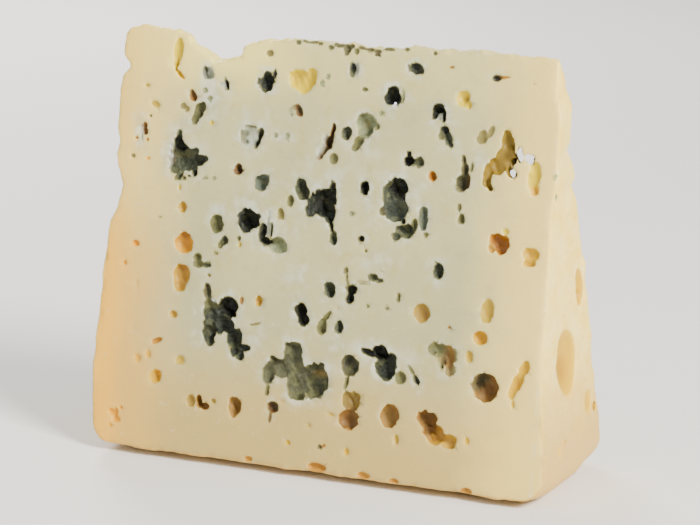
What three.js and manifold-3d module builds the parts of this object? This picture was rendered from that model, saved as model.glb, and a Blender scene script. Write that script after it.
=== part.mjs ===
// A wedge of blue cheese: one sixteenth of a wheel, standing on its curved rind with the thin tip up.
// X runs along the wheel's axis, from one flat of the wheel to the other, and the open cut face looks to -Y.
// The origin is under the middle of the wedge, on the surface that it stands on. Millimetres throughout.
import * as THREE from "three";
import { mergeVertices } from "three/addons/utils/BufferGeometryUtils.js";
import Module from "manifold-3d";

// Driving dimensions
const WHEEL_RADIUS = 97.5;
const WHEEL_HEIGHT = 111;
const SLICE_ANGLE = 22.5; // degrees, a sixteenth of the wheel
const TIP_HALF_THICKNESS = 0.6; // half of what is left where the two cuts would meet
const CREST_Z = 94.5; // the tip is crumbled away above this height
const CREST_ROUNDING = 0.7; // height of the soft edge along the crest
const CREST_HALF_WIDTH = 0.5; // and half of the width left flat on it
const REST_HALF_WIDTH = 5; // half of the flat that the rind has settled onto
const RIM_RADIUS = 5.5; // round edge between the wheel's flats and its rind
const END_EASE = 0.4; // how far the upright edges are worn round
const SURFACE_SWELL = 0.3; // soft unevenness of the two cut faces
const SWELL_FADE_TOP = 12; // it fades out over this height under the crest
const SWELL_FADE_FOOT = [3, 8]; // and above the rind: from this height, over this much
const SMALLEST_MOUTH = 9; // width times height in mm²: finer hollows are left to the surface finish
const FLATTEST_LOBE = 0.55; // stains shallower than this have no hollow

const HALF_LENGTH = WHEEL_HEIGHT / 2;
const SLOPE = Math.tan(THREE.MathUtils.degToRad(SLICE_ANGLE / 2));
const ORIGIN_SHIFT = 0.4; // the left flat bulges by twice this, and the origin is under the middle of the box
const REST_DEPTH = WHEEL_RADIUS - Math.sqrt(WHEEL_RADIUS ** 2 - REST_HALF_WIDTH ** 2);

// The crest of the tip from end to end: x, height. A broken notch stands beside the lump at the left.
const CREST = [
  [-56, 95.2], [-53.5, 95.8], [-50, 96.2], [-44, 96], [-37.7, 94.9], [-37.1, 93], [-34, 91.4],
  [-31, 89.3], [-28, 89.7], [-24.2, 91.2], [-23.8, 93.6], [-17.5, 94.8], [-11, 95.4], [2.5, 95.1],
  [9, 94.5], [19, 95.4], [25, 94.9], [31, 95.5], [41, 94.9], [56, 94.5],
];
// How far each upright edge lies inside half of the wheel's height: height, inset.
const LEFT_FRONT = [
  [7, 0], [20, -0.8], [40, 0], [52, 0.7], [55, 2.3], [60, 3.1], [67, 1.3], [70, 1.9], [73, 0.9],
  [85, 0.8], [86.5, 2.6], [87.5, 2.5], [89.5, 0.8], [94, 1.2], [96.4, 3],
];
const LEFT_BACK = [
  [7, 0], [25, -0.6], [44, 0.3], [58, 1.2], [64, 2.4], [69, 1.5], [80, 1.1], [87, 2.3], [92, 1.4],
  [96, 2.6],
];
const RIGHT_FRONT = [
  [8, 0], [15.6, 1], [28, 2.6], [43, 2.6], [62, 3.3], [71, 2.8], [83, 3.2], [88, 4.4], [94, 4.5],
];
const RIGHT_BACK = [
  [8, 0], [24, 1.1], [33, 1], [47, 1.7], [64, 3], [66.3, 4], [68, 3.1], [71, 3.5], [74, 4.7],
  [76, 3.7], [84.5, 3.2], [91, 4.2], [94.4, 5.1],
];

// Lobes of the hollows in the cut face: x, z, width, height, lean in degrees (top to the right), depth.
const FRONT_HOLLOWS = {
  lump_crevice: [[-40.6, 91.3, 1.6, 6, 3, 1.2], [-39.6, 87, 1.5, 3, -25, 1]],
  notch_ring: [[-33.1, 87.1, 2.3, 2.8, 0, 1.6]],
  notch_slit: [[-28.1, 85.3, 1.6, 2.7, -12, 1.8]],
  upper_brown: [[-36, 81.4, 2, 2.6, -25, 1.7]],
  upper_grey: [[-34, 79, 2, 2.8, 20, 1.7], [-35.2, 76.8, 2.3, 3.2, 22, 1.6]],
  crest_olive: [[-17.3, 92.5, 2.1, 2, 0, 0.6]],
  crest_black: [[-17.8, 86.2, 2.7, 3.9, 12, 2.4]],
  heart: [[-10.2, 87.3, 4.2, 5, -10, 1.5], [-6.9, 87.6, 3.4, 4.6, 12, 1.4], [-8.3, 85, 4.2, 3, 0, 1.4]],
  crest_brown: [[1.8, 94, 2.8, 1.8, 20, 1]],
  small_brown: [[-9, 79.8, 1.7, 2.8, -20, 1.6]],
  crest_white: [[3.2, 90, 2, 3, 0, 1.6]],
  upper_black: [[13.4, 84.4, 3.1, 4.5, -10, 3]],
  velvet_round: [[7.5, 78, 4.8, 4.9, 10, 2.2]],
  long_slit: [[-0.2, 76.6, 1.5, 3.6, 6, 1.8], [-0.9, 74, 2.2, 4, 8, 2.8], [-2.2, 71, 1.5, 3.6, 22, 1.8]],
  velvet_small: [[3.1, 75.9, 2.1, 2.7, 0, 1.7]],
  olive_pair: [[6.2, 73.5, 2.6, 2.8, 0, 1.2], [0.4, 70.1, 1.7, 2.3, 0, 0.9]],
  crest_right_black: [[18.3, 91.2, 2.9, 2.6, 0, 1.5]],
  arch_black: [[24.6, 82.1, 3, 3.9, 0, 2.8]],
  flat_yellow: [[29.8, 85.5, 3.3, 3.9, 0, 1.1]],
  streak_dark: [[38.2, 90.5, 3.2, 1.2, -10, 1]],
  leaning_green: [[26.4, 78.2, 1.7, 2, -15, 1.6], [27.1, 76.5, 2.3, 3.2, -20, 1.5]],
  shallow_olive: [[35.2, 77.6, 2.9, 4.8, 25, 1], [37.2, 80, 1.7, 2.4, 25, 0.7]],
  right_yellow: [[47.8, 69.7, 2.7, 6.6, 5, 1.2]],
  leaf_brown: [[-48.2, 73.1, 1.6, 3.2, -10, 1.5]],
  star_black: [
    [-38.2, 67.6, 5.2, 6.8, 0, 4.2], [-38.6, 71.6, 1.8, 3.2, 0, 1.8], [-34.6, 67.2, 4.8, 4.2, -10, 3.2],
    [-31.9, 67.4, 2.2, 1.8, 0, 1.2], [-34.2, 64.6, 1.8, 2.6, 10, 1.5], [-38.9, 64.3, 2, 2.6, 0, 1.5],
  ],
  left_amber: [[-36.8, 57.1, 1.9, 2.9, 0, 1.1]],
  brown_dot: [[-23.7, 66.3, 1.8, 2.3, 0, 1.7]],
  ring_left: [[-20.5, 73.4, 4.7, 4.7, 0, 2]],
  velvet_left: [[-17.8, 63.7, 3.3, 3.3, 0, 1.7]],
  tall_grey: [[-7.1, 62.3, 3.1, 4.9, -8, 2.3]],
  olive_drop: [[-9.2, 59.9, 1.5, 2.6, 8, 1]],
  pale_drop: [[-11.4, 57, 1.6, 2.6, -20, 0.7]],
  middle_black: [
    [-1.2, 60.5, 6.6, 7.2, 10, 5], [-4.5, 59.2, 3.2, 4.2, 10, 3.2], [0.2, 62.8, 3.2, 3.6, 0, 2.8],
    [0.6, 57.8, 2.7, 3.6, 0, 2.4], [1.2, 55, 1.6, 2.8, -20, 1.4], [1.9, 52.9, 1.6, 2.7, 0, 1.4],
  ],
  small_black: [[8.7, 64.6, 1.9, 3, 0, 2.5]],
  right_black: [
    [16.3, 65.4, 4.8, 4.7, 0, 4], [14, 63, 2.5, 4.4, 0, 2], [16.8, 60.8, 5.8, 5.2, 0, 2.6],
    [18.6, 57.1, 5.2, 3.2, 10, 2.5], [21.2, 58, 1.7, 3.2, 10, 1.2], [16.8, 55.9, 2.1, 2.3, 20, 1.6],
  ],
  twin_black: [[18.7, 71.3, 2, 2.1, 0, 1.9], [21.1, 71.3, 1.7, 1.9, 0, 0.9]],
  rust_dot: [[24.3, 68.2, 1.7, 2.1, -10, 1.5]],
  long_grey: [[23.1, 59.3, 2, 4.9, -6, 1.3]],
  tear_brown: [[31.5, 67.6, 3.4, 4.4, 8, 2.8], [31.9, 70.4, 1.6, 3.2, -5, 1.5]],
  small_olive: [[31.8, 59.8, 1.7, 1.9, 0, 0.9]],
  pentagon: [[41, 55.8, 4.7, 4.9, 0, 2.5]],
  shallow_yellow: [[48, 53.4, 4.1, 3.9, 0, 0.9]],
  left_orange_dot: [[-47.4, 47.7, 1.9, 1.5, 0, 0.7]],
  left_ochre: [[-35.6, 49, 4.6, 4.4, 0, 2.3], [-35.2, 50.9, 3, 2, 0, 1.7]],
  left_ochre_low: [[-35.5, 41.6, 4.3, 5.7, 8, 2.2]],
  olive_left: [[-27.3, 53.8, 3.4, 4.2, 0, 1.7]],
  leaning_small: [[-25.1, 49.6, 1.6, 3, 28, 1.5]],
  round_black: [[-19.4, 54.8, 5.2, 5.4, 0, 4.2]],
  wet_black: [[-16.6, 54.4, 1.6, 1.8, 0, 1.3], [-15.3, 53, 2.7, 6.1, -5, 2.5]],
  velvet_olive: [[-11.9, 50.3, 4.1, 3.6, 10, 1.7]],
  corner_olive: [[-31.4, 45.9, 2.5, 2.5, 0, 1.2], [-29.5, 44.9, 3, 1.5, 0, 0.8]],
  faint_amber: [[-36.6, 32.4, 2, 1.8, 20, 0.9]],
  red_streak: [[-40.8, 26.8, 3, 1.5, -20, 0.9]],
  pale_round: [[-34.1, 22.8, 3, 2.9, 0, 0.7]],
  left_amber_low: [[-39.6, 18.2, 3, 4.2, 20, 1.2]],
  corner_brown: [
    [-27.9, 14.2, 2.5, 3.2, -20, 2.1], [-26.4, 13.2, 2, 2, 0, 1.7], [-30, 14.1, 2.1, 2.7, 0, 0.9],
  ],
  amber_oval: [[-19.4, 13.3, 2.9, 5.3, 5, 2.1]],
  left_orange_branch: [[-49.9, 8.8, 1.6, 3.6, 0, 0.7]],
  boot_black: [
    [-28.6, 38.2, 1.6, 3.8, -8, 1.2], [-28, 34.4, 3.2, 7, 0, 2.1], [-22.5, 35.4, 4.9, 5.3, 0, 4.3],
    [-25.2, 31, 5.6, 6.6, -10, 3], [-27, 28.3, 3.7, 4, -10, 2.9], [-21, 29.8, 4.4, 3, 0, 2.2],
    [-19.7, 26.2, 3.7, 4.3, -20, 2.8], [-17.3, 26.5, 2, 1.7, 0, 1.3],
  ],
  amber_dot: [[-15.2, 37.8, 2, 2.8, 0, 1.1]],
  olive_oval: [[1.9, 42.4, 2.5, 3.3, -5, 2.1]],
  wedge_black: [[7, 42.9, 2.2, 2.9, 0, 2.6], [6.8, 41, 1.6, 2.4, 8, 2.1]],
  blue_black: [[12.3, 45.8, 1.9, 1.8, 0, 1.5]],
  bean_black: [[-4.8, 36.6, 2.7, 3.9, -12, 2.9], [-4, 34.3, 2.7, 2.7, 0, 2.5]],
  branch_olive: [[1.7, 36.3, 1.5, 2.8, 25, 0.8], [1, 33.4, 2.2, 3.7, 8, 1.7]],
  branch_dark: [[5, 34.1, 1.6, 3.2, 8, 1.6]],
  velvet_field: [
    [-6.4, 27.2, 5, 5, 0, 2.1], [-11.6, 23.2, 4, 4.5, 15, 1.6], [-7.2, 23.4, 7.2, 4.6, 0, 1.8],
    [-0.4, 22, 7.2, 7.6, 0, 3.2], [-3.8, 18.8, 5.4, 3, 10, 1.8],
  ],
  lower_brown: [[-9.6, 15.2, 2.9, 2.7, 0, 1.7]],
  olive_brown: [[8.2, 26.2, 4.1, 4.9, -8, 1.8]],
  hooked_black: [
    [15.4, 29, 4.8, 4.2, -15, 3.9], [16.8, 26.6, 5, 5.7, -15, 2.8], [12, 29.3, 2.2, 1.5, 0, 1.1],
    [16.6, 24.2, 2.7, 2.2, 0, 1.4], [20.4, 25, 2.7, 3.1, 0, 1.1],
  ],
  tall_amber: [[8.9, 18.3, 4.7, 5.2, 0, 1.5], [8.6, 14.3, 5.1, 4.9, 10, 2.5]],
  round_amber: [[18.2, 16.6, 4.4, 5.2, 0, 2.1]],
  edge_pits: [[2.6, 3, 4.2, 1.9, 0, 1.2], [14.2, 2.5, 3, 1.6, 0, 0.9], [38.3, 2.5, 2.2, 1.6, 0, 0.9]],
  right_ochre: [[24, 39, 4.1, 4.8, -5, 1.5]],
  velvet_pair: [[27.2, 32.2, 2.8, 2.9, 20, 1.1], [31.1, 30.2, 3.3, 6.3, -8, 1.9]],
  right_yellow_low: [[38.5, 35.5, 3.3, 3.1, 10, 1.3]],
  pale_oval: [[36, 30.9, 2.3, 3, 0, 0.6]],
  brown_cave: [[39.9, 25.4, 5.8, 6.5, 0, 3.1]],
  yellow_flame: [[48.5, 30, 2.4, 2.9, 15, 1], [47, 26.4, 2.4, 5.5, 20, 1], [46.3, 22.8, 1.5, 3, 5, 0.6]],
  shallow_ochre: [[39.4, 41.2, 3.7, 5.9, 0, 0.8]],
  twisted_brown: [
    [28, 17.2, 4.7, 5.1, -15, 3.3], [29, 13.7, 5.1, 5.1, -20, 2.6], [33, 12.3, 3.7, 3.9, 0, 1.7],
    [31, 11.3, 3, 2.4, 0, 1.3],
  ],
  right_green: [[27.8, 48.7, 2.2, 3.9, -6, 1.9]],
  tiny_black: [[8.7, 53.7, 1.6, 1.6, 0, 1.4]],
};
// The hollow that breaks through the wedge: its mouths in the front face, its mouths in the back face,
// and the bubble between them as centre and half sizes.
const THROUGH_FRONT = [
  [41.5, 76.2, 3.6, 5.6, -15, 4], [41, 73.2, 6.4, 5.4, 20, 4.6], [37.1, 69.6, 2.2, 6.6, 5, 3],
  [42.8, 71.2, 2.1, 4, 0, 3.6], [43.9, 74.6, 1.5, 4.4, -3, 3.6], [46, 74, 2.3, 2.5, 0, 3.4],
];
const THROUGH_BACK = [[41.2, 71.9, 4, 3.8, 0, 3.6], [38.2, 68.4, 2.6, 3.2, 20, 3.6]];
const THROUGH_BUBBLE = { centre: [41, 0, 72], half: [5.2, 4.5, 5.2] };

// The same for the cut face at the back, which has the same make-up as the open one.
const BACK_HOLLOWS = {
  back_black: [[-12, 60, 6, 7, 10, 4.4], [-8.6, 57.4, 4, 4.2, 0, 3], [-14, 55, 1.8, 3.8, 20, 1.5]],
  back_velvet: [[8, 33, 7.6, 6.2, 0, 2.6], [13, 29.8, 5.2, 6.6, -20, 3.2], [3.6, 29.4, 4.6, 4.2, 10, 2]],
  back_dark: [[22, 52, 4.7, 6.2, 15, 3.6], [25.3, 48.9, 2.7, 3.2, 0, 1.8]],
  back_cave: [[-26, 40, 5.8, 5, -30, 3.8], [-29.4, 43, 3.2, 4.2, 0, 2.2], [-24, 36, 2.2, 3.8, 10, 2]],
  back_upper_grey: [[-3, 76, 3, 4.6, -15, 1.8]],
  back_upper_black: [[16, 72.5, 3.3, 4.1, 10, 2.4]],
  back_left_ochre: [[-43, 52, 4.7, 5, 0, 2]],
  back_left_yellow: [[-47, 30, 3.4, 6.2, 12, 1.1]],
  back_left_brown: [[-34, 60, 3.2, 4.6, -10, 2.5]],
  back_right_ochre: [[34, 61, 4.2, 4.3, 0, 2]],
  back_right_yellow: [[46, 45, 3.6, 5, 8, 1.1]],
  back_low_brown: [[-36, 18, 6, 7.2, -15, 3], [-32.2, 14.4, 4.2, 4.2, 0, 2]],
  back_low_velvet: [[-14, 24, 4.1, 5.2, 20, 2.2], [-17.5, 21.2, 3.2, 2.8, 0, 1.5]],
  back_low_ochre: [[0, 12, 4.5, 4.9, 0, 2.1]],
  back_low_yellow: [[14, 9, 3, 3.5, 0, 0.9]],
  back_right_dark: [[30, 28, 4.5, 5.7, -12, 3.3], [33.4, 31.1, 2.4, 2.8, 0, 1.5]],
  back_right_cave: [[43, 22, 4.9, 5.2, 0, 2.4]],
  back_corner_amber: [[48, 10, 1.8, 3.2, 10, 0.9]],
  back_velvet_round: [[0, 46, 3.5, 3.9, 0, 1.9]],
  back_slit: [[10, 50, 1.9, 4.4, -14, 2.3]],
  back_crest_yellow: [[-24, 81.5, 3.4, 3.3, 0, 1]],
  back_crest_slit: [[-15, 83, 1.6, 3.7, 18, 1.4]],
  back_crest_ochre: [[29, 79, 2.8, 3.3, 0, 1.1]],
  back_grey: [[-20, 70.5, 3.5, 3.3, 0, 1.7]],
  back_olive: [[-44, 71, 2.3, 3.1, 0, 1.1]],
  back_small_black: [[6, 63, 2.3, 3.1, 0, 1.9]],
  back_right_olive: [[38.5, 46.5, 2.1, 3.1, 0, 1.1]],
  back_low_amber: [[-20, 10, 3.1, 3.5, 0, 1.4]],
  back_mid_olive: [[21, 38.5, 3.5, 3.1, 30, 1.5]],
  back_mid_brown: [[-41, 40, 2.1, 3.3, 0, 1.5]],
  back_left_black: [[-36.5, 50, 2.3, 2.7, 0, 1.9]],
};
// Hollows in the wheel's flats: y, z, width, height, lean, depth.
const RIGHT_HOLLOWS = { dent: [[-0.8, 28.4, 8.4, 14, -12, 1.3]], pits: [[15, 14.5, 2.2, 2.4, 0, 0.9]] };
const LEFT_HOLLOWS = {
  dent: [[4, 38, 6.4, 10, 15, 1.2]],
  pits: [[-8, 16, 2.4, 2.2, 0, 1], [2, 62, 1.8, 3, 0, 0.9]],
};
// Hollows in the rind, either side of the flat that it stands on: x, y, width, height, lean, depth.
const RIND_HOLLOWS = {
  pits: [
    [-33, -12, 3, 2.2, 0, 1], [18, 12, 3.6, 2.6, 0, 1.1], [-8, 13.5, 2.6, 2.2, 0, 0.9],
    [36, -13, 2.4, 2.8, 0, 1],
  ],
};

// A value read off a table of [place, value] rows, straight between the rows.
function along(table, place) {
  if (place <= table[0][0]) return table[0][1];
  for (let i = 1; i < table.length; i++) {
    const [low, from] = table[i - 1];
    const [high, to] = table[i];
    if (place <= high) return from + ((to - from) * (place - low)) / (high - low);
  }
  return table[table.length - 1][1];
}

const ease = (t) => THREE.MathUtils.smoothstep(t, 0, 1);
const halfThickness = (z) => TIP_HALF_THICKNESS + (WHEEL_RADIUS - z) * SLOPE;
const rindHeight = (y) => Math.max(0, WHEEL_RADIUS - Math.sqrt(WHEEL_RADIUS ** 2 - y * y) - REST_DEPTH);

// How much the rim's rounding lifts the rind at x.
function rimRise(x) {
  const over = Math.max(0, Math.abs(x) - (HALF_LENGTH - RIM_RADIUS));
  return RIM_RADIUS - Math.sqrt(Math.max(0, RIM_RADIUS ** 2 - over ** 2));
}

// The soft unevenness of a cut face, outward, for the face on the given side (-1 front, 1 back).
function swell(side, x, z) {
  const broad = Math.sin(0.11 * x + 0.6 + side) * Math.sin(0.09 * z + 1.1);
  const fine = Math.sin(0.27 * x - 0.19 * z + 2 * side);
  const [footFrom, footOver] = SWELL_FADE_FOOT;
  const fade = ease((CREST_Z - z) / SWELL_FADE_TOP) * ease((z - footFrom) / footOver);
  return SURFACE_SWELL * (0.6 * broad + 0.4 * fine) * fade;
}

// Stations along the wheel's axis, closer together round the rims and at the broken notch.
const RIM_STEPS = 4;
const STATIONS = [-44, -37.9, -37, -34, -31, -27.5, -24.6, -23.7, -18, -11, -4, 3, 9, 15, 21, 28, 35, 43];
for (let i = 0; i <= RIM_STEPS; i++) {
  const x = HALF_LENGTH - RIM_RADIUS + RIM_RADIUS * Math.sin((i / RIM_STEPS) * (Math.PI / 2));
  STATIONS.unshift(-x);
  STATIONS.push(x);
}
// Heights of the rows on each cut face, and places across the rind as shares of its half width.
const FOOT_Z = rindHeight(halfThickness(rindHeight(halfThickness(0))));
const ROWS = [FOOT_Z, 5, 11, 19, 27, 35, 43, 50, 55, 60, 66, 70, 74, 80, 85, 87, 89.5, 92];
ROWS.push(CREST_Z - CREST_ROUNDING);
const REST_SHARE = REST_HALF_WIDTH / halfThickness(0);
const RIND_SHARE = 0.62; // between the flat and the edge of the rind
const ACROSS = [RIND_SHARE, REST_SHARE, 0, -REST_SHARE, -RIND_SHARE];
const END_REACH = 14; // how far in from each end the unevenness of its edges fades away
const CREST_REACH = 26.5; // and how far down the unevenness of the crest does
const RIM_REACH = 25;

// A point of the outside, from its place along the axis, its nominal height and its share of the thickness.
function outsidePoint(station, height, share) {
  const rim = rimRise(station) * Math.max(0, 1 - height / RIM_REACH) ** 2;
  const crest = (along(CREST, station) - CREST_Z) * ease((height - CREST_Z + CREST_REACH) / CREST_REACH);
  const z = height + rim + crest;
  const fromEnd = HALF_LENGTH - Math.abs(station);
  const eased = END_EASE * Math.max(0, 1 - fromEnd / END_EASE);
  const side = Math.sign(share);
  const across = (1 - share) / 2;
  const left = THREE.MathUtils.lerp(along(LEFT_BACK, z), along(LEFT_FRONT, z), across);
  const right = THREE.MathUtils.lerp(along(RIGHT_BACK, z), along(RIGHT_FRONT, z), across);
  const leftFade = Math.max(0, 1 - (station + HALF_LENGTH) / END_REACH) ** 2;
  const rightFade = Math.max(0, 1 - (HALF_LENGTH - station) / END_REACH) ** 2;
  const x = station + left * leftFade - right * rightFade;
  const y = share * (halfThickness(z) - eased) + side * swell(side, x, z) * Math.abs(share);
  return new THREE.Vector3(x, y, z);
}

// One closed loop round the wedge at a station: up the front, over the crest, down the back, under the rind.
function loopAt(station) {
  const points = ROWS.map((height) => outsidePoint(station, height, -1));
  const top = outsidePoint(station, CREST_Z, 0);
  points.push(top.clone().setY(-CREST_HALF_WIDTH), top.clone().setY(CREST_HALF_WIDTH));
  for (let j = ROWS.length - 1; j >= 0; j--) points.push(outsidePoint(station, ROWS[j], 1));
  const rim = rimRise(station);
  for (const share of ACROSS) {
    const y = share * halfThickness(rim);
    const edge = outsidePoint(station, FOOT_Z, share);
    points.push(new THREE.Vector3(edge.x, y, rindHeight(y) + rim));
  }
  return points;
}

// The wedge before its hollows are taken out: a skin of quads between the loops, with a cap at each end.
function wedgeGeometry() {
  const loops = STATIONS.map(loopAt);
  const around = loops[0].length;
  const vertices = loops.flat().flatMap((point) => point.toArray());
  const faces = [];
  for (let i = 0; i + 1 < loops.length; i++) {
    for (let j = 0; j < around; j++) {
      const a = i * around + j;
      const b = i * around + ((j + 1) % around);
      faces.push(a, a + around, b, b, a + around, b + around);
    }
  }
  const backOf = (j) => 2 * ROWS.length + 1 - j;
  const lastRow = ROWS.length;
  for (const [base, turned] of [[0, false], [(loops.length - 1) * around, true]]) {
    const add = (a, b, c) => faces.push(base + a, base + (turned ? c : b), base + (turned ? b : c));
    for (let j = 0; j < lastRow; j++) {
      add(j, j + 1, backOf(j));
      add(j + 1, backOf(j + 1), backOf(j));
    }
    for (let k = backOf(0); k + 1 < around; k++) add(0, k, k + 1);
  }
  const geometry = new THREE.BufferGeometry();
  geometry.setAttribute("position", new THREE.Float32BufferAttribute(vertices, 3));
  geometry.setIndex(faces);
  return geometry;
}

// The frame of a face: where a place on it lies in space, and its across, up and outward directions.
const tilt = Math.atan(SLOPE);
function cutFace(side) {
  return {
    at: (x, z) => new THREE.Vector3(x, side * halfThickness(z), z),
    across: new THREE.Vector3(1, 0, 0),
    up: new THREE.Vector3(0, -side * Math.sin(tilt), Math.cos(tilt)),
    out: new THREE.Vector3(0, side * Math.cos(tilt), Math.sin(tilt)),
  };
}
function flatFace(side) {
  const front = side < 0 ? LEFT_FRONT : RIGHT_FRONT;
  return {
    at: (y, z) => new THREE.Vector3(side * (HALF_LENGTH - along(front, z)), y, z),
    across: new THREE.Vector3(0, 1, 0),
    up: new THREE.Vector3(0, 0, 1),
    out: new THREE.Vector3(side, 0, 0),
  };
}
const rindFace = {
  at: (x, y) => new THREE.Vector3(x, y, rindHeight(y)),
  across: new THREE.Vector3(1, 0, 0),
  up: new THREE.Vector3(0, 1, 0),
  out: new THREE.Vector3(0, 0, -1),
};

// A soft round lobe with half sizes across, up and out of the face, dented so that no two look alike.
// Its poles lie along the face's outward direction, so that its mouth is one ring of short edges.
const DENTING = 0.08;
const LOBE_SIZES = [[5, 10, 5], [3.2, 7, 4], [0, 6, 4]]; // from this size, sides round the mouth, rings deep
function lobeGeometry(centre, across, up, halfSizes) {
  const largest = 2 * Math.max(halfSizes[0], halfSizes[1]);
  const [, sides, rings] = LOBE_SIZES.find(([from]) => largest > from);
  const geometry = new THREE.SphereGeometry(1, sides, rings);
  const position = geometry.getAttribute("position");
  const out = across.clone().cross(up);
  const phase = centre.x * 0.7 + centre.z * 0.3;
  for (let i = 0; i < position.count; i++) {
    const p = new THREE.Vector3().fromBufferAttribute(position, i);
    const dent = Math.sin(5.1 * p.x + 3.7 * p.z + phase) * Math.cos(4.3 * p.y - 2.9 * p.x + phase);
    p.multiplyScalar(1 + DENTING * dent);
    const moved = centre.clone();
    moved.addScaledVector(across, halfSizes[0] * p.x);
    moved.addScaledVector(up, -halfSizes[1] * p.z);
    moved.addScaledVector(out, halfSizes[2] * p.y);
    position.setXYZ(i, moved.x, moved.y, moved.z);
  }
  return geometry;
}

// Deep lobes have their middle under the surface and undercut it; shallow ones are dishes.
const SHALLOW_SHARE = 0.4;
const DEEP_MIDDLE = 0.22;
const DISH_MIDDLE = -0.5;
function faceLobe(face, [u, v, width, height, lean, depth]) {
  const middle = depth < SHALLOW_SHARE * Math.min(width, height) ? DISH_MIDDLE : DEEP_MIDDLE;
  const reach = depth * (1 - middle);
  const mouth = Math.sqrt(1 - ((middle * depth) / reach) ** 2);
  const centre = face.at(u, v).addScaledVector(face.out, -middle * depth);
  const angle = THREE.MathUtils.degToRad(lean);
  const axis = face.across.clone().cross(face.up);
  const across = face.across.clone().applyAxisAngle(axis, -angle);
  const up = face.up.clone().applyAxisAngle(axis, -angle);
  return lobeGeometry(centre, across, up, [width / 2 / mouth, height / 2 / mouth, reach]);
}

const wasm = await Module();
wasm.setup();

function solidOf(geometry) {
  const bare = geometry.clone();
  bare.deleteAttribute("normal");
  bare.deleteAttribute("uv");
  const merged = mergeVertices(bare);
  return new wasm.Manifold(
    new wasm.Mesh({
      numProp: 3,
      vertProperties: merged.getAttribute("position").array,
      triVerts: new Uint32Array(merged.index.array),
    }),
  );
}

function geometryOf(solid) {
  const mesh = solid.getMesh();
  const geometry = new THREE.BufferGeometry();
  geometry.setAttribute("position", new THREE.BufferAttribute(mesh.vertProperties, mesh.numProp));
  geometry.setIndex(new THREE.BufferAttribute(mesh.triVerts, 1));
  return geometry;
}

function everyLobe(face, hollows) {
  return Object.values(hollows)
    .flat()
    .filter(([, , width, height, , depth]) => width * height >= SMALLEST_MOUTH && depth >= FLATTEST_LOBE)
    .map((lobe) => faceLobe(face, lobe));
}

function allHollows() {
  const front = cutFace(-1);
  const back = cutFace(1);
  const { centre, half } = THROUGH_BUBBLE;
  const bubble = lobeGeometry(
    new THREE.Vector3(...centre),
    new THREE.Vector3(1, 0, 0),
    new THREE.Vector3(0, 0, 1),
    [half[0], half[2], half[1]],
  );
  return [
    ...everyLobe(front, FRONT_HOLLOWS),
    ...everyLobe(front, { THROUGH_FRONT }),
    bubble,
    ...everyLobe(back, { THROUGH_BACK }),
    ...everyLobe(back, BACK_HOLLOWS),
    ...everyLobe(flatFace(1), RIGHT_HOLLOWS),
    ...everyLobe(flatFace(-1), LEFT_HOLLOWS),
    ...everyLobe(rindFace, RIND_HOLLOWS),
  ];
}

let cheese = solidOf(wedgeGeometry());
for (const hollow of allHollows()) cheese = cheese.subtract(solidOf(hollow));
cheese = cheese.translate([ORIGIN_SHIFT, 0, 0]);

const paste = new THREE.MeshStandardMaterial({ color: 0xd6ccae, roughness: 0.55, metalness: 0 });
const wedge = new THREE.Mesh(geometryOf(cheese), paste);
wedge.name = "cheese_wedge";

const blueCheese = new THREE.Group();
blueCheese.add(wedge);
export default blueCheese;
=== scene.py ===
"""A wedge of blue cheese, one sixteenth of a wheel, standing on its curved rind with the thin tip up.

The wedge is grown as a field of distances in millimetres, carved by the mould's hollows, and turned into one
skin. The hollows follow the CAD part's and are drawn finer. Small pits, a few shallow fields of mould
on the back, crumbs and the finish are added here.
"""

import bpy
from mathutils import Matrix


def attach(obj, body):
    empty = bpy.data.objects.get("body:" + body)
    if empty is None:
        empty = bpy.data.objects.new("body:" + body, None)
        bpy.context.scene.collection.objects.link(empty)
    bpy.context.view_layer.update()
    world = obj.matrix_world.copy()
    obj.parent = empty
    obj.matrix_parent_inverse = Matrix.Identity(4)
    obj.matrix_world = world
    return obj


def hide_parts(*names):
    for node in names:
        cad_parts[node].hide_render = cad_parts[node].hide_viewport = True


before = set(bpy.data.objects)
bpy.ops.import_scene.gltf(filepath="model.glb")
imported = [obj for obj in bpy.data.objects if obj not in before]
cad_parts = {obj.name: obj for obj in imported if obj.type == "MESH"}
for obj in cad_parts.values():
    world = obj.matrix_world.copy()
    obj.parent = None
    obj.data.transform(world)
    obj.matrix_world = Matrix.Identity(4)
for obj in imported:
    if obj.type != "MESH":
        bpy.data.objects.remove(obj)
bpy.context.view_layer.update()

import math
from collections import namedtuple

import bpy
import numpy as np
import openvdb
from bpy.props import FloatProperty, FloatVectorProperty, PointerProperty
from mathutils import Vector

bl_info = {
    "name": "Blue Cheese Wedge",
    "version": (1, 0, 0),
    "blender": (4, 5, 0),
    "location": "View3D > Sidebar > Blue Cheese",
    "description": "Builds a wedge of blue cheese with mould-lined hollows, and a plain stage for it",
    "category": "Add Mesh",
}

MM = 0.001
NODE = "cheese_wedge"
BODY = "root"

# Millimetres from here on, in the CAD part's own table coordinates
ORIGIN_SHIFT = 0.4  # the left flat bulges by twice this, and the origin is under the middle of the box
SWELL_FADE_TOP = 12
SWELL_FADE_FOOT = (3, 8)

# The crest of the tip from end to end: x, height. A broken notch stands beside the lump at the left.
CREST = [
    (-56, 95.2), (-53.5, 95.8), (-50, 96.2), (-44, 96), (-37.7, 94.9), (-37.1, 93), (-34, 91.4),
    (-31, 89.3), (-28, 89.7), (-24.2, 91.2), (-23.8, 93.6), (-17.5, 94.8), (-11, 95.4), (2.5, 95.1),
    (9, 94.5), (19, 95.4), (25, 94.9), (31, 95.5), (41, 94.9), (56, 94.5),
]
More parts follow.
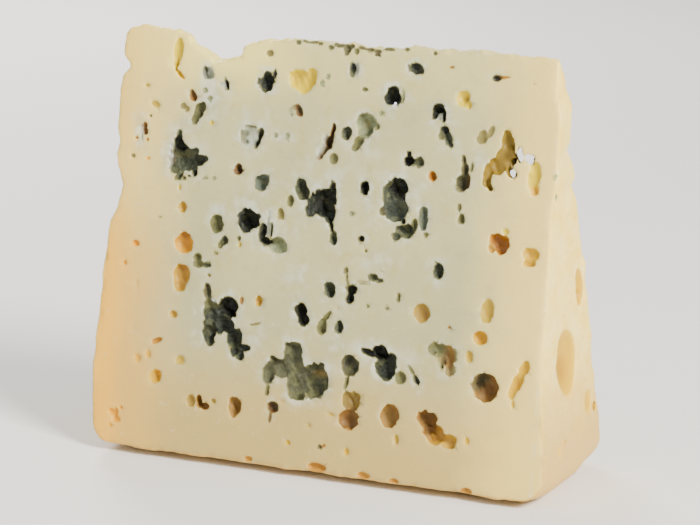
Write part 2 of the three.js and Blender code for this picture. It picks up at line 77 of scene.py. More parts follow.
# How far each upright edge lies inside half of the wheel's height: height, inset.
LEFT_FRONT = [
    (7, 0), (20, -0.8), (40, 0), (52, 0.7), (55, 2.3), (60, 3.1), (67, 1.3), (70, 1.9), (73, 0.9),
    (85, 0.8), (86.5, 2.6), (87.5, 2.5), (89.5, 0.8), (94, 1.2), (96.4, 3),
]
LEFT_BACK = [
    (7, 0), (25, -0.6), (44, 0.3), (58, 1.2), (64, 2.4), (69, 1.5), (80, 1.1), (87, 2.3), (92, 1.4),
    (96, 2.6),
]
RIGHT_FRONT = [
    (8, 0), (15.6, 1), (28, 2.6), (43, 2.6), (62, 3.3), (71, 2.8), (83, 3.2), (88, 4.4), (94, 4.5),
]
RIGHT_BACK = [
    (8, 0), (24, 1.1), (33, 1), (47, 1.7), (64, 3), (66.3, 4), (68, 3.1), (71, 3.5), (74, 4.7),
    (76, 3.7), (84.5, 3.2), (91, 4.2), (94.4, 5.1),
]

# Each hollow is a look and its lobes: x, z, width, height, lean in degrees (top to the right), depth.
FRONT_HOLLOWS = {
    "lump_crevice": ("yellow", [
        (-40.2, 91.2, 2.2, 5.6, 2, 0.9), (-40.5, 88.2, 0.9, 3.4, 0, 1.3), (-39.5, 86.2, 0.8, 2.4, -45, 1),
    ]),
    "lump_line": ("orange", [(-38.8, 85.6, 0.5, 1.6, -50, 0.6)]),
    "lump_streaks": ("pale", [(-45, 79, 2.6, 1.6, 20, 0.3), (-47.5, 83, 1.6, 1, 0, 0.3)]),
    # Painted highlight: the glint on the wet paste of this hollow, put in as a pale colour.
    "notch_ring": ("wet_glint", [(-32.2, 86.7, 2.3, 2.7, 0, 1)]),
    "notch_ring_arc": ("black", [(-33.2, 87.2, 0.7, 1.7, 0, 1.4), (-32.8, 86, 0.6, 1.4, -45, 1.3)]),
    "notch_ring_grey": ("grey", [(-31.1, 86.4, 0.5, 1, 0, 0.7)]),
    "notch_slit": ("jet", [(-27.3, 84.5, 0.8, 2.1, -18, 1.5)]),
    # Painted highlight: the glint on the wet paste of this hollow, put in as a pale colour.
    "notch_slit_side": ("wet_glint", [(-28, 84.3, 0.8, 1.6, -10, 0.5), (-28.9, 84.5, 0.7, 1.3, 0, 0.5)]),
    "upper_brown": ("brown", [(-35.5, 81.4, 1.6, 2.4, -25, 1.4)]),
    "upper_brown_top": ("dark_brown", [(-35.9, 82.3, 0.9, 0.9, 0, 1)]),
    "upper_faint": ("pale_olive", [(-37.9, 79.1, 1.6, 1.8, 0, 0.4), (-36.8, 78.4, 1.2, 1.4, 0, 0.4)]),
    "upper_leaf": ("olive", [(-33.7, 78.4, 2.3, 3.8, 15, 1.6), (-34.5, 76.5, 1.7, 2.6, 25, 1.1)]),
    "upper_leaf_shade": ("slate", [(-33, 79.4, 1.1, 1.8, 15, 1.7)]),
    "upper_specks": ("grey", [(-32.6, 82.9, 0.8, 0.8, 0, 0.4), (-31.2, 81.2, 0.7, 0.9, 0, 0.4)]),
    "upper_yellow": ("yellow", [(-30.3, 75.9, 0.9, 1, 0, 0.4)]),
    "crest_olive": ("pale_olive", [(-17.2, 92, 1.8, 1.7, 0, 0.6)]),
    "crest_black": ("black", [(-17.4, 85.6, 2.9, 4.1, 10, 2.4), (-15.6, 87.4, 0.7, 1.6, 10, 0.7)]),
    "heart": ("yellow", [
        (-9.9, 87.4, 4, 3.6, 0, 1.3), (-9.6, 86.3, 5, 4.6, 0, 1.1), (-8.2, 85.6, 4.4, 3.8, 0, 1.2),
        (-6.7, 87.4, 2.7, 4.4, 10, 1.3),
    ]),
    "heart_spots": ("grey", [(-2.5, 87.8, 0.9, 0.7, 0, 0.4), (-3.8, 86.4, 0.8, 0.8, 0, 0.4)]),
    "crest_brown": ("dark_olive", [
        (1.7, 94.1, 1.6, 1.6, 20, 0.9), (2.7, 94.7, 0.9, 0.7, 0, 0.7), (1.5, 93.1, 0.7, 0.8, 0, 0.5),
    ]),
    "crest_brown_side": ("olive", [(3.9, 93.7, 1, 1.2, 0, 0.5), (-2.4, 94.1, 1.3, 0.8, 0, 0.5)]),
    "crest_specks": ("dark_olive", [
        (-10.4, 94.8, 1, 0.7, 0, 0.4), (-5, 94.8, 0.9, 0.6, 0, 0.4), (7.3, 94.2, 1.5, 0.6, 0, 0.5),
        (-7.4, 95.2, 3.4, 0.6, 4, 0.5), (-0.4, 94.9, 2.4, 1, 0, 0.6), (5.8, 94.7, 3, 0.8, -5, 0.6),
        (11.6, 94.6, 2.4, 0.5, 0, 0.5),
        (8.9, 94, 1.5, 0.8, 0, 0.6), (15.9, 94.7, 1, 0.5, 0, 0.4), (22.5, 94.4, 0.9, 0.6, 0, 0.4),
    ]),
    "small_brown": ("dark_brown", [(-9, 80, 1.4, 2.2, -30, 1.4), (-9.9, 80.7, 0.8, 1, 0, 0.7)]),
    "small_brown_side": ("grey", [(-10.6, 79.7, 0.5, 1.8, 0, 0.5)]),
    "crest_white": ("black", [(3.2, 89.9, 0.9, 2.3, 0, 1.5)]),
    # Painted highlight: the glint on the wet paste of this hollow, put in as a pale colour.
    "crest_white_core": ("wet_glint", [(4.1, 89.8, 1.3, 2.7, 0, 0.6)]),
    "crest_white_foot": ("olive", [(3.2, 88.6, 0.9, 0.9, 0, 0.6)]),
    "crest_streak": ("olive", [(6.7, 85.6, 1.4, 0.7, 0, 0.4)]),
    "upper_black": ("black", [(13.2, 84.6, 3.2, 4, 0, 3), (14.6, 84.2, 1.2, 2.4, 0, 1.8)]),
    "upper_black_rim": ("grey", [(15.8, 84.8, 0.6, 2.4, 0, 0.5), (11, 80.8, 0.8, 0.8, 0, 0.4)]),
    "velvet_round": ("grey", [(7.5, 78.7, 4.4, 3.5, 0, 2), (7.5, 77, 3.2, 3.4, 0, 2)]),
    "velvet_round_spot": ("slate", [(7.8, 77, 1.2, 1.3, 0, 2.2)]),
    "velvet_round_smear": ("ochre_olive", [(7.2, 78.2, 1, 1.6, 0, 2)]),
    "velvet_round_tail": ("olive", [
        (10.2, 77.9, 1.1, 1.3, 0, 0.8), (6.1, 74.3, 1.9, 2.8, 25, 1.1), (5.3, 73.1, 1.5, 1.5, 0, 1),
    ]),
    "long_slit": ("dark_brown", [
        (-0.3, 75.9, 0.9, 3.6, 8, 1.8), (-1, 73.7, 2.1, 2.8, 5, 2.6), (-1.9, 71.9, 0.9, 2.8, 28, 1.8),
        (-2.8, 70.5, 0.8, 1.5, 45, 1.2),
    ]),
    # Painted highlight: the glint on the wet paste of this hollow, put in as a pale colour.
    "long_slit_side": ("wet_glint", [(-2.9, 71.9, 0.6, 3, 28, 0.6), (-2, 74.4, 0.5, 2, 10, 0.5)]),
    "velvet_small": ("slate", [(3.1, 75.9, 2, 2.7, 0, 1.7)]),
    "olive_right_of_slit": ("olive", [(0.4, 70.2, 1.8, 2.2, 0, 0.9)]),
    "crest_right_black": ("black", [(18.3, 90.9, 3, 2.2, 8, 1.5), (19.6, 90.3, 1, 0.8, 0, 0.6)]),
    "crest_right_specks": ("brown", [(26.8, 91.7, 1.1, 0.4, -10, 0.4)]),
    "arch_black": ("black", [
        (24.4, 82.6, 2.9, 1.9, 0, 2.6), (23.6, 81.4, 0.9, 2.2, 5, 1.8), (25.7, 81.4, 0.9, 2.7, -3, 1.8),
    ]),
    # Painted highlight: the glint on the wet paste of this hollow, put in as a pale colour.
    "arch_middle": ("wet_glint", [(24.6, 81.1, 1.1, 1.9, 0, 0.6)]),
    "flat_yellow": ("yellow", [(29.9, 85.3, 3.3, 3.4, 0, 1), (31.3, 84, 1, 1.8, 0, 0.8)]),
    "flat_yellow_spot": ("brown", [(30.7, 85.1, 0.6, 0.6, 0, 1.2)]),
    "streak_dark": ("black", [(37.2, 90, 1.8, 1.1, -10, 1)]),
    "streak_orange": ("rust_light", [(39, 90.3, 2.4, 0.6, -8, 0.5), (45.6, 89.3, 0.8, 1.1, 0, 0.3)]),
    "leaning_green": ("black", [(26.3, 78.3, 1.7, 1.6, 0, 1.6)]),
    "leaning_green_middle": ("slate", [(27, 76.9, 1.5, 3.4, -20, 1.3)]),
    "leaning_green_foot": ("black", [(27.9, 75.3, 0.8, 1, 0, 1)]),
    "leaning_green_side": ("olive", [(25.6, 77, 1.1, 1.6, 0, 0.6)]),
    "shallow_olive": ("pale_olive", [(34.9, 77.4, 2.4, 4, 20, 0.9), (36.8, 78.8, 1.4, 2.8, 20, 0.7)]),
    "right_yellow": ("yellow", [(47.4, 70.1, 2.7, 6.2, 4, 1.1)]),
    "right_yellow_foot": ("ochre", [(47.7, 67.2, 1.9, 2.2, 5, 1.1)]),
    "edge_grey": ("grey", [(52.3, 70.4, 0.9, 1.1, 0, 0.4)]),
    "leaf_brown": ("brown", [(-47.2, 73.3, 1.3, 2.8, -8, 1.3)]),
    # Painted highlight: the glint on the wet paste of this hollow, put in as a pale colour.
    "leaf_glint": ("wet_glint", [(-48.1, 72.5, 0.5, 3.4, -8, 0.4)]),
    "leaf_specks": ("rust", [(-49.2, 71.2, 0.8, 0.6, 0, 0.4), (-46.4, 71, 0.6, 1, 0, 0.5)]),
    "leaf_faint": ("pale_olive", [(-49.8, 67.1, 1.2, 1, 0, 0.4), (-46, 76.4, 0.8, 0.7, 0, 0.3)]),
    "leaf_orange": ("orange", [(-45.9, 66.8, 0.8, 0.7, 0, 0.4)]),
    "star_black": ("black", [(-38.5, 70.4, 2.2, 3.8, -8, 3.4), (-33.6, 67.4, 3.8, 2.3, 10, 3)]),
    "star": ("slate", [
        (-37.4, 67.6, 4.6, 6.8, 0, 2.7), (-35.2, 67.2, 4.4, 4.6, 0, 2.5), (-32, 67.8, 2.8, 1.5, 5, 1.6),
        (-34.2, 69, 2.4, 1.5, -20, 1.8), (-37.4, 64.4, 1.5, 2.8, 0, 1.6), (-33.6, 65, 1.2, 2.8, 0, 1.6),
        (-39, 65.2, 1.9, 2.4, -15, 1.6), (-38.2, 72.4, 1, 2.6, 0, 1.4),
    ]),
    "star_wall": ("dark_brown", [(-39.3, 67.6, 1.2, 3.4, 0, 1.4)]),
    # Painted highlight: the glint on the wet left rim of the star, put in as a pale colour.
    "star_glint": ("wet_glint", [(-40.4, 68.8, 0.8, 4.2, 5, 0.5), (-40, 66.2, 0.7, 1.6, -15, 0.5)]),
    "star_fringe": ("olive", [
        (-38.2, 63.1, 0.9, 0.8, 0, 0.5), (-36.2, 63.2, 1.1, 0.7, -10, 0.5), (-35, 63.7, 0.8, 0.6, 0, 0.4),
    ]),
    "star_yellow": ("yellow", [(-37.2, 60.9, 0.8, 1.3, 0, 0.4)]),
    "left_amber": ("ochre_light", [(-36.1, 56.7, 1.8, 2.6, 0, 1.1)]),
    "star_specks": ("grey", [(-30.7, 63.5, 0.9, 0.6, 0, 0.3), (-28.5, 63.7, 0.7, 0.6, 0, 0.3)]),
    "brown_dot": ("dark_brown", [(-22.8, 66.2, 1.9, 2.1, 0, 1.7)]),
    # Painted highlight: the glint on the wet left side of the ring, put in as a pale colour.
    "ring_left": ("wet_glint", [(-20.4, 73.5, 4.4, 4.4, 0, 0.9)]),
    "ring_left_arc": ("olive", [(-20.4, 75.6, 2.6, 0.6, 0, 0.8), (-22.4, 73.4, 0.7, 2.6, -12, 0.7)]),
    # Painted shadow: a black crescent on the right side of the ring, where its wall is turned from the light.
    "ring_left_shadow": ("black", [(-18.2, 74, 1.3, 2.8, 10, 2.2), (-18.8, 72.2, 1.1, 1.7, 35, 1.9)]),
    "ring_left_foot": ("dark_olive", [(-18.9, 71.5, 0.8, 0.8, 0, 0.9)]),
    "ring_left_marks": ("slate", [(-21.7, 74.2, 0.6, 0.9, 0, 1.1), (-21.6, 72.3, 0.9, 0.6, 20, 1.1)]),
    "ring_specks": ("grey", [(-14.2, 74.2, 0.8, 0.8, 0, 0.5), (-11.3, 74.3, 0.8, 1.5, 0, 0.5)]),
    "velvet_left": ("grey_blue", [(-16.6, 64.2, 3.4, 2.3, 0, 1.7), (-16.9, 63, 2.6, 2, 0, 1.6)]),
    "tall_grey": ("slate", [(-6.7, 63.1, 2.8, 4.4, -12, 2.2), (-6.1, 62.2, 2, 2.4, 0, 1.8)]),
    "olive_drop": ("olive", [(-9.3, 60.2, 1.4, 2.3, 8, 1)]),
    "pale_drop": ("pale_olive", [(-11.4, 57.3, 1.6, 2.4, -15, 0.7)]),
    "middle_black": ("black", [
        (-1.3, 60.7, 5.8, 6, 15, 5), (0.7, 62.6, 1.9, 4.6, 3, 3), (-3.6, 59.6, 3.2, 4.4, 20, 3.4),
        (-4.7, 58.2, 1, 1.6, 0, 1.4), (0.6, 58.4, 2.6, 4.2, 0, 3),
    ]),
    "middle_velvet": ("slate_blue", [(-1.4, 58.2, 3, 1.6, 8, 3.4)]),
    "middle_tail": ("slate", [(2, 53.2, 1.5, 2.9, -5, 1.3)]),
    "middle_tail_black": ("black", [(1.2, 55.6, 0.9, 2.6, -15, 1.5)]),
    "middle_speck": ("grey", [(5.9, 58.8, 0.9, 0.8, 0, 0.4)]),
    "small_black": ("jet", [(8.6, 64.7, 1.8, 2.6, 0, 2.5), (8.8, 63.4, 0.9, 1.2, 0, 1.2)]),
    "right_black": ("black", [(16.2, 65.4, 4.4, 4.2, 0, 4), (17.4, 63.4, 2, 2.6, -8, 2.8)]),
    "right_black_side": ("slate", [(14.1, 63.6, 2, 5, 0, 1.8)]),
    "right_velvet": ("slate_blue", [(16.2, 60.7, 5.2, 5.2, 0, 2.6)]),
    "right_velvet_tip": ("dark_olive", [(13.2, 59.9, 1.5, 1.5, 0, 0.9)]),
    "right_black_foot": ("slate", [(18.6, 56.1, 3.6, 2.4, 10, 2.4), (16.9, 54.9, 1.6, 1.8, 20, 1.4)]),
    "right_black_gap": ("black", [(19.4, 57, 1.6, 1.6, 0, 1.9), (18.2, 58.2, 1, 1.2, 0, 1.7)]),
    "right_black_tail": ("olive", [(20.8, 57.4, 1.4, 3, 5, 1.2)]),
    "twin_black": ("jet", [(18.5, 71.1, 2, 2.1, 0, 1.9), (18.4, 72.5, 0.8, 1.3, 0, 0.8)]),
    "twin_grey": ("slate", [(21, 71.2, 1.9, 1.9, 0, 0.9), (19.9, 71.1, 1.4, 1.1, 0, 0.9)]),
    "rust_dot": ("rust", [(24.2, 68.3, 1.6, 2, -10, 1.4)]),
    "long_grey": ("grey_blue", [(22.9, 59.2, 1.8, 4.6, -4, 1.3)]),
    "long_grey_foot": ("olive", [(23.8, 55.8, 0.9, 0.9, 0, 0.5)]),
    "tear_brown": ("dark_olive", [(31.3, 67.5, 3, 3.8, 10, 2), (31.6, 69.9, 1.4, 3.2, 0, 1.6)]),
    "tear_spike": ("dark_olive", [(31.2, 72.2, 0.6, 2.4, -8, 0.8)]),
    "tear_side": ("brown", [(32.3, 67.8, 1.5, 3.2, 10, 1.9)]),
    "tear_line": ("olive", [(33.1, 71, 0.5, 2.2, 8, 0.5)]),
    "small_olive": ("olive", [(31.8, 59.9, 1.5, 2.1, 0, 0.9), (31.1, 62.3, 0.6, 1.6, 0, 0.5)]),
    "pentagon": ("rust", [
        (41.3, 55.5, 3.7, 3.2, 0, 2.3), (40.2, 55.8, 3, 3.6, 0, 2.2), (41.2, 54.2, 2.4, 2.4, 0, 2),
    ]),
    "pentagon_side": ("ochre_light", [(39.2, 54.3, 1.4, 1.8, 0, 1.2)]),
    "pentagon_flap": ("yellow", [(42, 58.1, 1.6, 1.4, 0, 0.6)]),
    "shallow_yellow": ("amber", [(48.2, 53.8, 4, 3, 0, 0.9), (48, 52, 2.6, 2, 0, 0.8)]),
    "left_faint": ("pale_olive", [(-41.5, 53.9, 1.5, 0.8, 0, 0.3)]),
    "left_orange_dot": ("orange", [(-47.5, 47.6, 1.8, 1.4, 0, 0.7), (-49.9, 43, 0.9, 1.3, 0, 0.5)]),
    "left_ochre": ("ochre", [(-35.3, 48.5, 4.4, 3.6, 0, 2.2), (-34.9, 47.9, 3.8, 2.2, 0, 1.8)]),
    "left_ochre_block": ("rust", [(-35.2, 50.2, 2.8, 1.8, 0, 1.8)]),
    "left_ochre_low": ("ochre_light", [(-35.2, 41.6, 4, 4.8, 5, 2), (-35.4, 39.4, 3.2, 2.8, 0, 1.6)]),
    "left_ochre_low_spot": ("rust", [(-35.1, 43.1, 1.7, 1.2, 0, 1.8)]),
    "olive_left": ("olive", [(-27.1, 53.7, 3.2, 3.8, 0, 1.7)]),
    "olive_left_top": ("slate", [(-26.7, 55.1, 1.6, 1, 0, 1.4)]),
    "leaning_small": ("slate", [(-25, 50.2, 1.5, 2, 25, 1.4)]),
    "leaning_small_foot": ("olive", [(-25.7, 49.2, 1.1, 1.7, 25, 1)]),
    "leaning_specks": ("slate", [(-21.1, 51, 0.6, 0.9, 0, 0.6)]),
    "leaning_yellow": ("yellow", [(-20.9, 49.6, 0.6, 1.2, 0, 0.4)]),
    "round_black": ("black", [(-19.2, 55.2, 5.1, 5, 0, 4)]),
    "wet_black": ("black", [
        (-15.5, 52.9, 1.4, 4.2, 5, 2.4), (-14.5, 51, 2, 1.9, 0, 2.4), (-13.4, 53.4, 0.6, 3, 0, 1.2),
    ]),
    # Painted highlight: the glint on the wet paste of this hollow, put in as a pale colour.
    "wet_black_glint": ("wet_glint", [(-14.4, 54.2, 1, 4.2, -3, 0.5), (-14.2, 57.2, 0.5, 1.6, 0, 0.3)]),
    "velvet_olive": ("grey", [(-11.3, 50.4, 4.1, 3.3, 5, 1.7)]),
    "corner_olive": ("olive", [(-31.4, 45.9, 1.9, 1.7, 0, 1.2), (-31, 44.5, 2.4, 1.7, 0, 1)]),
    "corner_dark": ("slate", [(-28.8, 44.4, 2.1, 0.8, 0, 0.9)]),
    "left_dots": ("pale_olive", [(-26.5, 47.2, 0.8, 0.8, 0, 0.4), (-28, 42.2, 1, 0.8, 0, 0.4)]),
    "left_streaks": ("faint_orange", [
        (-46.4, 38.5, 1.2, 3, 0, 0.4), (-46.6, 29.5, 0.8, 4.6, 0, 0.3), (-44.7, 22, 2, 2.4, 0, 0.4),
        (-42, 23.2, 1.6, 2.2, 0, 0.4), (-44.4, 27.4, 2.4, 1, 20, 0.3),
    ]),
    "faint_amber": ("ochre_light", [(-36.4, 32.7, 2, 1.7, 15, 0.9)]),
    "red_streak": ("rust_light", [(-40.1, 26.4, 2.8, 1.2, -25, 0.8)]),
    "pale_round": ("pale", [(-33.7, 22.8, 2.8, 2.7, 0, 0.7)]),
    "left_amber_low": ("amber", [(-39.6, 18.5, 2.8, 3.6, 25, 1.1)]),
    "left_amber_core": ("orange", [(-39.2, 19.3, 1.1, 1.2, 0, 1)]),
    "corner_brown": ("brown", [(-28, 14.1, 1.6, 2.8, -5, 2), (-26.6, 13.3, 2.2, 1.6, 0, 1.7)]),
    "corner_ochre": ("tan", [(-30.2, 14, 2.2, 2.6, 0, 0.9), (-24.4, 14.6, 1.4, 1, 0, 0.4)]),
    "amber_oval": ("ochre_olive", [(-19.1, 14, 2.7, 4.8, 5, 2.1)]),
    "amber_oval_edge": ("brown", [(-18, 14, 0.9, 2.6, 5, 1.7)]),
    "left_orange_branch": ("orange", [
        (-49.3, 8.6, 1.1, 3.6, 6, 0.5), (-50.3, 9.2, 1.4, 1.8, -25, 0.4), (-48.5, 7.6, 1.2, 1.3, 30, 0.4),
        (-50.4, 6.2, 0.8, 1, 0, 0.3), (-47.9, 10.4, 0.9, 0.8, 0, 0.3),
    ]),
    "boot_spine": ("dark_olive", [(-28, 38.6, 1.6, 3.6, -10, 1.3)]),
    "boot_spine_edge": ("grey", [(-27.2, 37, 0.9, 2.2, -25, 0.9)]),
    "boot_ledge": ("olive", [(-27.1, 35.9, 3, 2.2, 0, 1.6)]),
    "boot_side": ("deep_green", [
        (-27.3, 33, 2.6, 5, 0, 2.2), (-24.5, 32, 4, 4.4, 0, 3), (-22.2, 31.6, 3.2, 2.8, -30, 2.5),
    ]),
    "boot_black": ("jet", [(-22.5, 35.6, 4.8, 4.4, 0, 4.2), (-25, 34.6, 2.6, 2, 0, 2.6)]),
    "boot_left_foot": ("deep_green", [(-27, 29.5, 2.8, 4.2, 0, 2.8), (-26.5, 27.6, 1.6, 1.8, 0, 1.4)]),
    "boot_right_foot": ("deep_green", [
        (-20.4, 29, 3.8, 4.4, -15, 2.6), (-17.6, 27.2, 2.8, 1.4, 0, 1.5), (-18.7, 25.5, 1.9, 2.2, -25, 1.6),
    ]),
    "boot_right_foot_tip": ("deep_green", [(-20.3, 26.3, 1.9, 2.2, 0, 2.2)]),
    "boot_speck": ("brown", [(-19.4, 37.4, 0.7, 1.7, 0, 0.6)]),
    "amber_dot": ("ochre_light", [(-15.1, 37.8, 1.7, 2.4, 0, 1.1)]),
    "amber_crease": ("pale_olive", [(-15.4, 32.7, 3.8, 0.5, -15, 0.3)]),
    "olive_oval": ("slate", [(2, 42, 2.5, 3.1, -5, 2)]),
    "wedge_black": ("jet", [(7.2, 42.3, 2.2, 2.2, 0, 2.6), (7.1, 40.8, 1.5, 2.6, 5, 2.1)]),
    "wedge_line": ("olive", [
        (5.6, 46.5, 0.8, 1.2, 0, 0.6), (6, 44.6, 0.4, 2.6, -12, 0.5), (10.1, 44.3, 2.8, 0.5, 0, 0.4),
    ]),
    "blue_black": ("slate", [(12.1, 45.7, 1.8, 1.5, 0, 1.5), (13.7, 45, 1.5, 0.6, -5, 0.8)]),
    "blue_tails": ("olive", [(14.4, 47.3, 1.2, 0.5, 15, 0.4), (18.6, 41.9, 0.7, 2.1, 0, 0.7)]),
    "bean_black": ("jet", [(-4.4, 36.9, 2.6, 3.6, -8, 2.9), (-3.7, 34.8, 2.4, 2.4, 0, 2.5)]),
    "middle_specks": ("olive", [(11.4, 39.3, 0.8, 0.7, 0, 0.4), (16.2, 39.4, 0.9, 0.7, 0, 0.4)]),
    "middle_yellow": ("ochre_light", [(4.2, 38.2, 1.5, 0.9, 0, 0.4)]),
    "branch_olive": ("olive", [
        (1.9, 36.2, 0.8, 2.8, 35, 0.8), (0.9, 34.4, 1.7, 2.3, 15, 1.1), (0.8, 33.1, 2, 2, 0, 1.4),
    ]),
    "branch_dark": ("slate", [(5, 34.1, 1.6, 2.7, 5, 1.7)]),
    "velvet_field": ("grey_olive", [
        (-0.1, 21.9, 6.4, 7.4, 0, 3), (-4.3, 21.3, 4.6, 7.4, 0, 2), (-8.2, 23.7, 5, 3.8, 12, 1.6),
        (-11.1, 22.4, 2.6, 4.8, 8, 1.4),
    ]),
    "velvet_field_arch": ("grey_olive", [(-5.6, 28, 3.8, 3.2, 0, 1.8), (-5.4, 25.6, 4.6, 3.6, 0, 1.7)]),
    "velvet_field_brow": ("dark_olive", [(-6.3, 28.6, 2.6, 1.4, 20, 1.9), (-9.6, 25.2, 3.4, 1.2, 35, 1.6)]),
    "velvet_field_foot": ("olive", [(-4, 18.2, 3.6, 2, 8, 1.6), (-0.4, 19, 2.6, 2, 20, 2)]),
    "velvet_field_flake": ("tan", [(0.3, 23.3, 3.4, 1.4, -5, 3.2)]),
    "velvet_field_dark": ("black", [(1.5, 25.4, 1.6, 1.2, -15, 2.4), (2.7, 22, 1, 4, 0, 2.2)]),
    "velvet_field_tail": ("olive", [(-11.3, 18.6, 0.8, 2.4, 5, 0.8)]),
    "lower_brown": ("dark_brown", [(-9.8, 15, 2.6, 2.2, 0, 1.7), (-10.1, 12.8, 0.5, 2.2, 0, 0.6)]),
    "lower_yellow": ("ochre_light", [(-7.6, 16.5, 2.4, 0.9, 12, 0.5)]),
    "olive_brown": ("dark_olive", [(8.4, 26.1, 3.8, 4.4, -5, 1.8)]),
    "olive_brown_middle": ("black", [(7.4, 26.8, 1.3, 2.2, 0, 1.8), (9, 25.5, 1.5, 1.2, 0, 1.7)]),
    "olive_brown_foot": ("olive", [(7.9, 22.3, 0.7, 2.4, 12, 0.6)]),
    "hooked_black": ("jet", [(15.2, 29.6, 3.8, 2.9, 0, 3.6), (12.6, 29.4, 3.4, 1.2, 18, 1.4)]),
    "hooked_grey": ("deep_green", [(16.8, 26.8, 4, 5.6, -12, 2.8), (18.2, 28.6, 1.8, 2.6, -20, 2)]),
    "hooked_olive": ("olive", [(20.6, 24.8, 2.3, 2.6, 0, 1.1)]),
    "hooked_tip": ("black", [(24.4, 24.8, 1, 2.2, -35, 1)]),
    "hooked_tail": ("olive", [(23, 26.7, 0.6, 2.4, -42, 0.5)]),
    "tall_amber": ("dark_tan", [(9.4, 18.3, 4.6, 4.6, 0, 1.6), (8.4, 19.6, 1.6, 1.6, 0, 1)]),
    "tall_amber_foot": ("brown", [(9.1, 14.4, 4.3, 4.6, 25, 2.4)]),
    "tall_amber_side": ("pale", [(4.8, 15, 2.8, 1.1, 12, 0.4)]),
    "round_amber": ("ochre_olive", [(18.7, 16.4, 4.2, 4.9, 0, 2.1)]),
    "round_amber_spot": ("brown", [(19, 17.6, 1, 1.2, 0, 2), (20.4, 16, 0.7, 2.8, 5, 1.3)]),
    "foot_specks": ("amber", [(-5.2, 7.7, 1.4, 1.1, 0, 0.5), (9.1, 7.4, 1.3, 1.6, 0, 0.6)]),
    "foot_streak": ("pale", [(20.8, 11.6, 1.2, 2.4, 0, 0.4), (-0.5, 12, 1.6, 1.4, 0, 0.4)]),
    "foot_dark": ("dark_olive", [(2.8, 7.7, 0.9, 0.8, 0, 0.6)]),
    "foot_rust": ("rust", [(3.6, 8.1, 0.7, 0.8, 0, 0.5)]),
    "edge_pits": ("rust_light", [
        (2.4, 3.2, 4.4, 1.7, 0, 1.2), (13.8, 2.9, 3, 1.4, 0, 0.9), (38, 2.7, 2.4, 1.3, 0, 0.9),
        (21, 2.6, 2.4, 1, 0, 0.7), (-14.6, 3, 2, 1.1, 0, 0.7),
    ]),
    "right_ochre": ("tan", [(24.2, 39.1, 3.6, 4, -12, 1.5)]),
    "right_ochre_spot": ("brown", [(24.8, 39, 1.2, 1.1, 0, 1.5), (31, 36.7, 1.1, 0.8, 0, 0.5)]),
    "velvet_pair": ("olive", [(28, 31.9, 3, 2.8, 15, 1.1), (29.7, 31.7, 2.6, 2.8, -30, 1.2)]),
    "velvet_pair_foot": ("grey", [(32.2, 27.7, 1.9, 2.2, -8, 0.9), (32.8, 31, 0.9, 2.6, -5, 0.8)]),
    "velvet_pair_spot": ("slate", [(27.9, 31, 0.9, 0.8, 0, 1.1)]),
    "velvet_pair_right": ("ochre_olive", [(31.3, 30.6, 2.6, 4.6, -5, 1.8), (31.7, 28, 1.6, 3.4, -8, 1.2)]),
    "velvet_pair_left": ("dark_olive", [(30.1, 29.8, 0.8, 4.2, -5, 1.6)]),
    "right_yellow_low": ("amber", [(38.4, 35.3, 3.2, 2.9, 5, 1.3)]),
    "pale_oval": ("pale", [(36.2, 31, 2.1, 2.9, 0, 0.6)]),
    "brown_cave": ("brown", [(40.5, 25, 5.2, 6, 8, 3), (41.8, 24.4, 2.6, 3.6, 0, 1.8)]),
    "brown_cave_left": ("dark_olive", [(38.9, 26, 2.4, 4, 25, 3.1)]),
    "brown_cave_foot": ("ochre_olive", [(40.2, 22.9, 3.4, 1.6, 8, 2)]),
    "yellow_flame": ("amber", [
        (49, 30, 2, 3.2, 15, 0.9), (47.7, 27, 2.2, 4.4, 22, 1), (46.6, 24.6, 2, 3, 10, 0.7),
        (47, 22.2, 0.7, 2.2, -8, 0.4),
    ]),
    "shallow_ochre": ("pale", [(39.4, 41.2, 3.3, 5.4, 0, 0.8)]),
    "twisted_brown": ("brown", [(27.7, 16.6, 4, 4.4, -20, 3.2), (28.4, 14.6, 3.6, 2.4, -30, 2.6)]),
    "twisted_ochre": ("ochre_light", [(29.8, 13.6, 4.6, 3.8, -35, 2.4)]),
    "twisted_rust": ("ochre_light", [(32.9, 12.6, 3.8, 3, 0, 1.6)]),
    "twisted_yellow": ("amber", [(37.2, 13.2, 1.2, 1.7, 0, 0.6)]),
    "right_green": ("slate", [(27.4, 48.4, 1.9, 3.4, -5, 1.7)]),
    "right_green_dark": ("black", [(27.9, 48.8, 0.9, 2.2, -10, 1.5)]),
    "tiny_black": ("black", [(8.6, 53.6, 1.5, 1.4, 0, 1.4)]),
    "tiny_tail": ("pale_olive", [(9.8, 51.1, 0.8, 0.8, 0, 0.6), (9.3, 52.3, 0.3, 1.4, -25, 0.3)]),
    "through_crescent": ("ochre_wall", [
        (40.9, 76.6, 2.8, 5.4, -12, 1.8), (40.8, 73.4, 4.6, 4.4, 10, 2), (38.8, 71.8, 3.6, 3.6, 30, 2),
        (36.9, 69.4, 2, 5, 0, 1.7), (37.6, 67, 1.3, 1.6, -25, 1.4), (41.8, 71.2, 1.8, 2.8, -15, 2.1),
    ]),
    "through_openings": ("ochre_wall", [
        (43.7, 74.4, 1, 3.8, -3, 3), (46.1, 73.8, 1.9, 1.8, 0, 3), (42.4, 70.3, 1.9, 2.1, 0, 3.6),
    ]),
}
# The bubbles in the thickness that join the two mouths of the hole through the wedge: centre and half sizes.
THROUGH_BUBBLES = [
    ("ochre_wall", (44.5, 0, 73), (3.5, 4.5, 3.8)),
    ("ochre_wall", (41.2, 2.4, 72.6), (3, 2.8, 3.4)),
    ("ochre_wall", (40.8, 0.3, 69), (2.9, 4.5, 2.4)),
]

